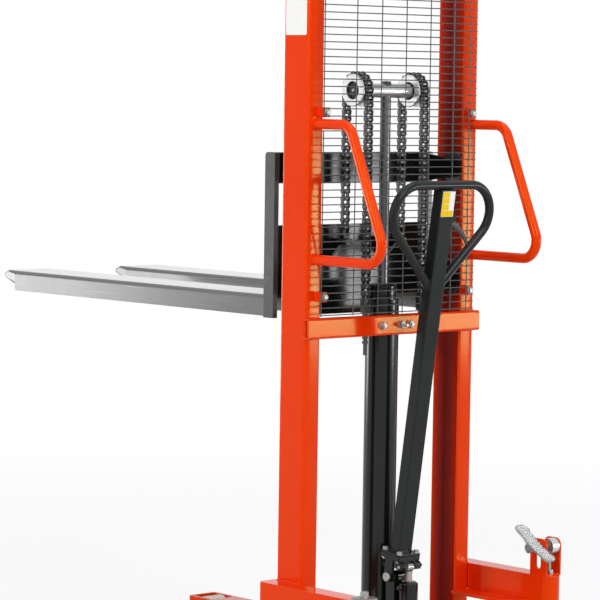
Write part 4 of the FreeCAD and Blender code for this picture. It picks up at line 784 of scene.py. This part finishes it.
# %% Fasteners on the bar and the guard
BAR_BACK, BAR_Z = -69.0, 957.0
BACKWARD, TAB_X = (0, -1, 0), 262
clamp_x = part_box("cylinder_clamp")[1].x * 1000 - 5
work = bmesh.new()
for x, reach in ((-clamp_x, 0), (18.0, 26), (clamp_x, 0)):
    washer(work, 10.5, WASHER, facing(BACKWARD, (x, BAR_BACK, BAR_Z)))
    hexed(work, 17, 8, facing(BACKWARD, (x, BAR_BACK - WASHER, BAR_Z)), 5.0)
    thread(work, 5.0, max(reach, 14), facing(BACKWARD, (x, BAR_BACK - 0.5, BAR_Z)))
for row in (2, 27, 51):
    z = GUARD[0] + (row + 0.5) * GUARD_STEP
    for x in (-TAB_X, TAB_X):
        washer(work, 9.1, 2, facing(BACKWARD, (x, GUARD_Y - WIRE, z)))
        hexed(work, 13, 6, facing(BACKWARD, (x, GUARD_Y - WIRE - 2, z)))
        thread(work, 3.0, 12, facing((0, 1, 0), (x, GUARD_Y - WIRE, z)), 1.0)
piece("bar_and_guard_bolts", work, "zinc_plate", "frame", ("frame_fasteners",))

# %% [markdown]
# The tiller's foot flange is bolted to the yoke with four bolts, and the yoke swings on a headed pin. They lean
# with the tiller, so they are drawn upright about its pivot and then tipped by the same matrix.

# %% Fasteners of the tiller
PIVOT = Matrix.Translation((0, -92, 290)) @ Matrix.Rotation(radians(8.5), 4, "X")
work = bmesh.new()
for x in (-30, 30):
    for y in (-27.5, 27.5):
        seat = PIVOT @ Matrix.Translation((x, y, 68))
        washer(work, 8.0, 1.4, seat)
        hexed(work, 13, 6.5, seat @ Matrix.Translation((0, 0, 1.4)))
        under = PIVOT @ Matrix.Translation((x, y, 50)) @ Matrix.Rotation(pi, 4, "X")
        hexed(work, 13, 5, under, 4.0)
        thread(work, 3.9, 9, under, 1.25)
head = PIVOT @ facing((-1, 0, 0), (-39, 0, 0))
turned(work, [(0, 0), (12.5, 0), (12.5, 3.6), (11, 5), (4, 5), (3, 4.2), (0, 4.2)], head, 32)
turned(work, [(0, -76), (10, -76), (10, 3), (9, 4), (0, 4)], PIVOT @ facing((1, 0, 0), (39, 0, 0)), 32)
piece("yoke_bolts_and_pin", work, "zinc_plate", "tiller", ("yoke_fasteners",))

# %% [markdown]
# ## Chain anchors
# Behind the masts each chain ends in a clevis on a threaded rod through the bar. Turning the nuts levels the
# two forks, so the thread shows above and below the bar.

# %% Chain anchors
def fork_end(work, x, y, base, top):
    """Clevis block with a slot for the chain's last link."""
    outer, gap, half = 11.3, 8.9, 8.5
    outline = [(-outer, base), (outer, base), (outer, top), (gap, top), (gap, base + 10), (-gap, base + 10),
               (-gap, top), (-outer, top)]
    middle = (base + top) / 2
    rings = []
    for depth, inset in ((-half, 0.5), (-half + 0.5, 0), (half - 0.5, 0), (half, 0.5)):
        wide, tall = 1 - inset / 11, 1 - inset / 14
        rings.append([work.verts.new((x + px * wide, y + depth, middle + (pz - middle) * tall)) for px, pz in outline])
    capped(work, rings)


ANCHOR_FOOT = 992
last_pin = PULLEY_Z - BEHIND * PITCH
work = bmesh.new()
for x in (-CHAIN_X, CHAIN_X):
    y = PULLEY_Y - PITCH_RADIUS
    fork_end(work, x, y, ANCHOR_FOOT, last_pin + 7.6)
    thread(work, 5, 112, facing((0, 0, -1), (x, y, ANCHOR_FOOT)))
    for z in (984, 922, 910):
        hexed(work, 14, 8, Matrix.Translation((x, y, z)), 5.0)
    for side in (-1, 1):
        rivet = [(3.0, -2.6), (3.0, 1.2), (2.4, 2.0), (0, 2.0)]
        turned(work, rivet, facing((side, 0, 0), (x + side * 11.3, y, last_pin)), 14)
piece("chain_anchor_rods", work, "oiled_plate", "frame", ("chain_anchors",))

# %% [markdown]
# Each pulley runs on a sealed bearing deep in its bore. From outside one sees a dark cup: the seal, a black
# retaining ring, and in the middle the small drilled end of the axle.

# %% Bearing cups in the pulleys
work = bmesh.new()
pins = bmesh.new()
for side in (-1, 1):
    mouth = facing((side, 0, 0), (side * CHAIN_X, PULLEY_Y, PULLEY_Z))
    cup = [(4.6, 16.1), (5.6, 16.9), (9.0, 17.0), (12.4, 16.6), (13.2, 14.0), (17.5, 13.6), (23.6, 13.4),
           (23.6, 12.6), (13.0, 12.6), (12.2, 16.05)]
    turned(work, cup, mouth, 36, True)
    axle_end = [(0, 16.05), (4.5, 16.05), (4.5, 17.2), (3.9, 17.7), (1.8, 17.7), (1.2, 16.6), (0, 16.3)]
    turned(pins, axle_end, mouth, 24)
piece("bearing_cups", work, "bearing_seal", "lift_rod")
piece("axle_centres", pins, "zinc_plate", "lift_rod")

# %% [markdown]
# The crosshead is one turned bar: a thick middle that the rod's nut presses on, and slimmer ends for the pulleys.
# It is turned again here to its true thickness with eased shoulders, and a dark nut is put on the rod's stud.

# %% Crosshead and rod nut
work = bmesh.new()
half = [(0, 115.9), (10.6, 115.9), (11.8, 114.7), (11.8, 80.6), (17.6, 80.6), (19.2, 79.0), (19.2, 40),
        (19.2, 0)]
bar_profile = [(r, -x) for r, x in half] + [(r, x) for r, x in reversed(half[:-1])]
turned(work, bar_profile, facing((1, 0, 0), (0, PULLEY_Y, PULLEY_Z)), 40)
piece("crosshead_bar", work, "turned_steel", "lift_rod", ("crosshead",))
work = bmesh.new()
washer(work, 15.0, 1.6, Matrix.Translation((0, PULLEY_Y, PULLEY_Z + 17.6)))
hexed(work, 24, 5.5, Matrix.Translation((0, PULLEY_Y, PULLEY_Z + 19.2)), 8.0)
thread(work, 7.9, 7.5, Matrix.Translation((0, PULLEY_Y, PULLEY_Z + 18.0)))
piece("rod_nut", work, "oiled_plate", "lift_rod", ("crosshead_fasteners",))

# %% [markdown]
# ## Tiller fittings
# The finger lever that lowers the forks is moulded, thick at its eye and thin at its hooked tip, so it is swept
# along a curve with a shrinking oval section. Under the tiller, the casting that carries the pump's roller has
# thick bosses with the ends of the roller's pin in them.

# %% Release lever and roller bosses
def swept(work, path, halves, place, sides=16):
    """A bar of oval section along (x, z) points in the place's XZ plane, with half heights and depths at each."""
    rings = []
    for k, (x, z) in enumerate(path):
        before, after = path[max(k - 1, 0)], path[min(k + 1, len(path) - 1)]
        across = Vector((before[1] - after[1], after[0] - before[0])).normalized()
        high, deep = halves[k]
        ring = []
        for j in range(sides):
            angle = 2 * pi * j / sides
            off = across * high * cos(angle)
            ring.append(work.verts.new(place @ Vector((x + off.x, deep * sin(angle), z + off.y))))
        rings.append(ring)
    capped(work, rings)


work = bmesh.new()
blade = [(24.5, 961.5), (26, 961), (34, 957), (46, 951), (60, 942), (75, 930), (88, 917), (99, 902), (105, 893),
         (106.5, 890)]
thick = [(7.0, 2.6), (9.4, 3.6), (10.2, 4.2), (9.6, 4.2), (8.8, 4.1), (7.6, 3.9), (6.2, 3.6), (4.6, 3.3),
         (3.0, 2.8), (1.6, 1.6)]
swept(work, blade, thick, PIVOT)
turned(work, [(0, 0), (6.4, 0), (6.4, 2.0), (5.6, 2.8), (2.2, 2.8), (1.6, 2.2), (0, 2.2)],
       PIVOT @ facing((0, -1, 0), (33.5, -3.6, 958)), 24)
piece("finger_lever", work, "lever_grey", "release_lever", ("release_lever",))

work = bmesh.new()
pins = bmesh.new()
boss_middle = Vector((-37, 40))
pin_end = [(0, -1), (4.6, -1), (4.6, 1.2), (3.8, 2.0), (0, 2.0)]
boss = [(-4, 49.8), (-6, 38), (-22, 29.5), (-27, 28.2), (-44, 28.2), (-46, 29), (-51.8, 41.5), (-37, 49.8)]
for side in (-1, 1):
    rings = []
    for x, inset in ((19.05, 0.0), (34.5, 0.0), (36.0, 1.5)):
        rings.append([])
        for y, z in boss:
            y, z = Vector((y, z)) + (boss_middle - Vector((y, z))).normalized() * inset
            rings[-1].append(work.verts.new(PIVOT @ Vector((side * x, y, z))))
    capped(work, rings)
    turned(pins, pin_end, PIVOT @ facing((side, 0, 0), (side * 36, -37, 36)), 20)
piece("roller_bosses", work, "black_enamel", "tiller")
piece("roller_pin_ends", pins, "zinc_plate", "tiller")

# %% [markdown]
# ## Brake and casters
# The brake pedal is a broad casting that bulges over its hub and keeps clear of the bracket beside it. A foot
# would slip on it if it were smooth, so its top is covered with small pyramids, cast with it. Its edges are given
# as a function of the distance from the shaft, which serves the outline and the tread alike.

# %% Brake pedal
HUB = (266, -314, 367)
PEDAL = Matrix.Translation((0, *HUB[1:])) @ Matrix.Rotation(radians(33), 4, "X")
PEDAL_BACK, PEDAL_FRONT, PEDAL_TOP, CORNER = -70.0, 78.0, 14.5, 16


def rise(value, start, end):
    """0 before start, 1 after end, and a soft rise between them."""
    part = min(max((value - start) / (end - start), 0), 1)
    return part * part * (3 - 2 * part)


def pedal_edges(y):
    """Left and right edge of the pedal at a distance in front of its shaft."""
    tip = min(y - PEDAL_BACK, PEDAL_FRONT - y, CORNER)
    tuck = CORNER - (CORNER ** 2 - (CORNER - tip) ** 2) ** 0.5
    return HUB[0] - 5 * (1 - rise(abs(y), 6, 50)) + tuck, 303.4 + 6 * rise(abs(y), 44, 56) - tuck


work = bmesh.new()
rings = []
for z, inset in ((7.5, 1.0), (8.5, 0.0), (PEDAL_TOP - 1.2, 0.0), (PEDAL_TOP, 1.2)):
    low, high = PEDAL_BACK + inset, PEDAL_FRONT - inset
    along = [low + (high - low) * (1 - cos(pi * k / 40)) / 2 for k in range(41)]
    left = [(pedal_edges(y)[0] + inset, y) for y in along]
    right = [(pedal_edges(y)[1] - inset, y) for y in reversed(along)]
    rings.append([work.verts.new(PEDAL @ Vector((x, y, z))) for x, y in left + right])
capped(work, rings)
turned(work, [(0, 0), (13, 0), (14, 1), (14, 37.4), (9, 37.4), (9, 93), (8, 94), (0, 94)],
       facing((1, 0, 0), HUB), 36)
PYRAMID = 6.4
for row in range(-15, 18):
    y = PYRAMID * row
    for column in range(9):
        x = 259 + PYRAMID * (column + row % 2 / 2)
        left, right = pedal_edges(min(max(y, PEDAL_BACK), PEDAL_FRONT))
        if left + 4 < x < right - 4 and PEDAL_BACK + 5 < y < PEDAL_FRONT - 5:
            rings = [[work.verts.new(PEDAL @ Vector((x + r * cos(a), y + r * sin(a), PEDAL_TOP + z)))
                      for a in (0, pi / 2, pi, 3 * pi / 2)] for r, z in ((2.9, -0.1), (2.7, 0.2), (0.7, 1.9))]
            for face in capped(work, rings):
                face.material_index = 1
piece("foot_pedal", work, "cast_pedal turned_steel", "brake", ("brake_pedal",))

# %% [markdown]
# The pedal's hub shows the ring of a boss with the shaft's end inside, two turned shapes on one axis.

# %% Hub end
work = bmesh.new()
end = facing((-1, 0, 0), HUB)
turned(work, [(9.6, -0.5), (13.8, -0.5), (13.8, 0.5), (13.0, 1.3), (10.4, 1.3), (9.6, 0.5)], end, 36, True)
turned(work, [(0, -0.5), (8.4, -0.5), (8.4, 1.0), (7.6, 1.8), (2.2, 1.8), (1.2, 0.9), (0, 0.9)], end, 36)
piece("pedal_hub_end", work, "zinc_plate", "brake")

# %% [markdown]
# The left stem is closed by a pressed dust cover under a hexagon bolt, and each wheel turns on a bolt whose head
# and nut lie outside the fork. The nut, washer and thread shapes from above serve again.

# %% Dust cover and wheel bolts
CASTER_X, CASTER_Y, AXLE_Y, AXLE_Z = 333.0, -326.0, -281.0, 90.0
work = bmesh.new()
cover = [(0, 290.5), (32.5, 290.5), (34, 291.6), (34, 294.5), (31, 297.2), (16, 299), (0, 299)]
turned(work, cover, Matrix.Translation((-CASTER_X, CASTER_Y, 0)), 48)
hexed(work, 19, 14, Matrix.Translation((-CASTER_X, CASTER_Y, 299)))
piece("stem_cover", work, "zinc_plate", "caster_left", ("swivel_cap",))
for side, name in ((-1, "left"), (1, "right")):
    work = bmesh.new()
    for way, reach in ((-1, 0), (1, 7)):
        seat = facing((way, 0, 0), (side * CASTER_X + way * 33, AXLE_Y, AXLE_Z))
        washer(work, 14.0, WASHER, seat)
        hexed(work, 19, 6, seat @ Matrix.Translation((0, 0, WASHER)), 6.0 if reach else 0.0)
        if reach:
            thread(work, 6.0, WASHER + reach, seat)
    piece(f"wheel_bolt_{name}", work, "zinc_plate", f"caster_{name}")

# %% [markdown]
# ## Weld beads
# The frame is welded, and every bead is a row of overlapping drops. A bead is a tube along the joint whose
# radius swells once for each drop. It sits half in the corner, so only its outer side shows.

# %% Weld bead shape
def bead(work, points, radius, closed=False, drop=3.2):
    """A rippled bead along straight runs between points, in millimetres."""
    points = [Vector(p) for p in points]
    runs = list(zip(points, points[1:] + points[:1] if closed else points[1:]))
    path = []
    for start, end in runs:
        count = max(2, int((end - start).length / (drop / 3)))
        path += [start.lerp(end, k / count) for k in range(count)]
    if not closed:
        path.append(points[-1])
    rings = []
    for k, here in enumerate(path):
        before = path[k - 1] if k or closed else here
        after = path[(k + 1) % len(path)] if k + 1 < len(path) or closed else here
        frame_of = facing(after - before, here)
        swell = radius * (0.86 + 0.14 * (k % 3 == 0)) * (1.0 if closed or 0 < k < len(path) - 1 else 0.4)
        rings.append([work.verts.new(frame_of @ Vector((swell * cos(a), swell * sin(a), 0)))
                      for a in (2 * pi * j / 8 for j in range(8))])
    if closed:
        skin(work, rings, True)
    else:
        capped(work, rings)


def ring_of(centre, radius, count=28):
    """Points of a circle in the XZ plane, round a tube that meets the back of a mast."""
    angles = [2 * pi * k / count for k in range(count)]
    return [(centre[0] + radius * cos(a), centre[1], centre[2] + radius * sin(a)) for a in angles]


print("bead shape ready")

# %% [markdown]
# On the frame the handles are welded all round, and the bar, the beams, the legs and the top tie along the edges
# where they meet the masts. The beads are painted with the frame.

# %% Welds of the frame
LIP, SIDE, BACK = 256, 304.5, -50.5
work = bmesh.new()
for side in (-1, 1):
    for z in HANDLES:
        bead(work, ring_of((side * HANDLE_X, BACK, z), HANDLE_R + 0.6), 2.6, True)
    for z in (930, 984):
        bead(work, [(side * LIP, BACK, z), (side * 303, BACK, z)], 2.4)
    bead(work, [(side * SIDE, 48, 290), (side * SIDE, -48, 290)], 2.8)
    bead(work, [(side * SIDE, -49.5, 289), (side * SIDE, -49.5, 221)], 2.8)
    bead(work, [(side * LIP, 50.5, 73), (side * 300, 50.5, 73)], 2.6)
    bead(work, [(side * LIP, -49.5, 2080), (side * 296, -49.5, 2080)], 2.2)
piece("frame_welds", work, "orange_powder_coat", "frame")

# %% [markdown]
# The carriage's plates are welded to its uprights and its forks, and the tiller to its flange and to the top and
# both ends of its loop. These beads ride on other bodies, so they are pieces of their own.

# %% Welds of the carriage and the tiller
FLANGE_SEAM = ((-23.6, -18.1), (23.6, -18.1), (23.6, 18.1), (-23.6, 18.1))
work = bmesh.new()
for side in (-1, 1):
    for low, high in ((1330, 1408), (1028, 1216)):
        for y in (101.6, 112.6):
            bead(work, [(side * 269.5, y, low), (side * 269.5, y, high)], 2.4)
    for low, high in ((127, 268), (-268, -127)):
        bead(work, [(low, 113.4, 1035), (high, 113.4, 1035)], 2.4)
piece("carriage_welds", work, "black_enamel", "carriage")
work = bmesh.new()
bead(work, [PIVOT @ Vector((x, y, 68.4)) for x, y in FLANGE_SEAM], 2.4, True)
for y in (-11.5, 11.5):
    bead(work, [PIVOT @ Vector((x, y, 1042.4)) for x in (-21, 21)], 2.0)
for side in (-1, 1):
    ring = [(side * 23.8, 13.2 * cos(2 * pi * k / 20), 790 + 17.5 * sin(2 * pi * k / 20)) for k in range(20)]
    bead(work, [PIVOT @ Vector(p) for p in ring], 1.9, True)
piece("tiller_welds", work, "tiller_black", "tiller")

# %% [markdown]
# ## Stickers
# Two stickers stay blank: a white one high on the left mast, and a white and yellow panel under the tiller's
# grip. A sticker is a thin sheet with rounded corners, a fraction of a millimetre proud of the paint.

# %% Blank stickers
def sheet_of_vinyl(work, place, left, right, low, high, corner, thick, lift=0.0):
    """A rounded rectangle in the place's XY plane, standing off along its Z."""
    outline = []
    for x, y, start in ((right - corner, high - corner, 0), (left + corner, high - corner, 90),
                        (left + corner, low + corner, 180), (right - corner, low + corner, 270)):
        for k in range(7):
            angle = radians(start + 15 * k)
            outline.append((x + corner * cos(angle), y + corner * sin(angle)))
    capped(work, [[work.verts.new(place @ Vector((x, y, z))) for x, y in outline] for z in (lift, lift + thick)])


LEFT_FACE = Matrix.Translation((-304, 0, 0)) @ Matrix(((0, 0, -1, 0), (-1, 0, 0, 0), (0, 1, 0, 0), (0, 0, 0, 1)))
work = bmesh.new()
sheet_of_vinyl(work, LEFT_FACE, -42, 40, 1715, 1925, 5, 0.35, 0.05)
piece("mast_sticker", work, "white_vinyl", "frame")

TILLER_BACK = PIVOT @ Matrix.Translation((0, -18, 0)) @ Matrix.Rotation(pi / 2, 4, "X")
work = bmesh.new()
sheet_of_vinyl(work, TILLER_BACK, -22, 22, 974, 1041, 1.5, 0.3, 0.05)
piece("tiller_sticker", work, "white_vinyl", "tiller")
work = bmesh.new()
for rise_by in (0, 16.4, 32.8):
    sheet_of_vinyl(work, TILLER_BACK, -21.6, 3.5, 991.6 + rise_by, 1006.8 + rise_by, 0.8, 0.12, 0.35)
sheet_of_vinyl(work, TILLER_BACK, -21.6, 19.5, 974.6, 990.4, 0.8, 0.12, 0.35)
piece("tiller_sticker_panels", work, "yellow_vinyl", "tiller")

# %% [markdown]
# ## Last step
# The visual model must stay within the measured box.

# %% Update the scene
bpy.context.view_layer.update()
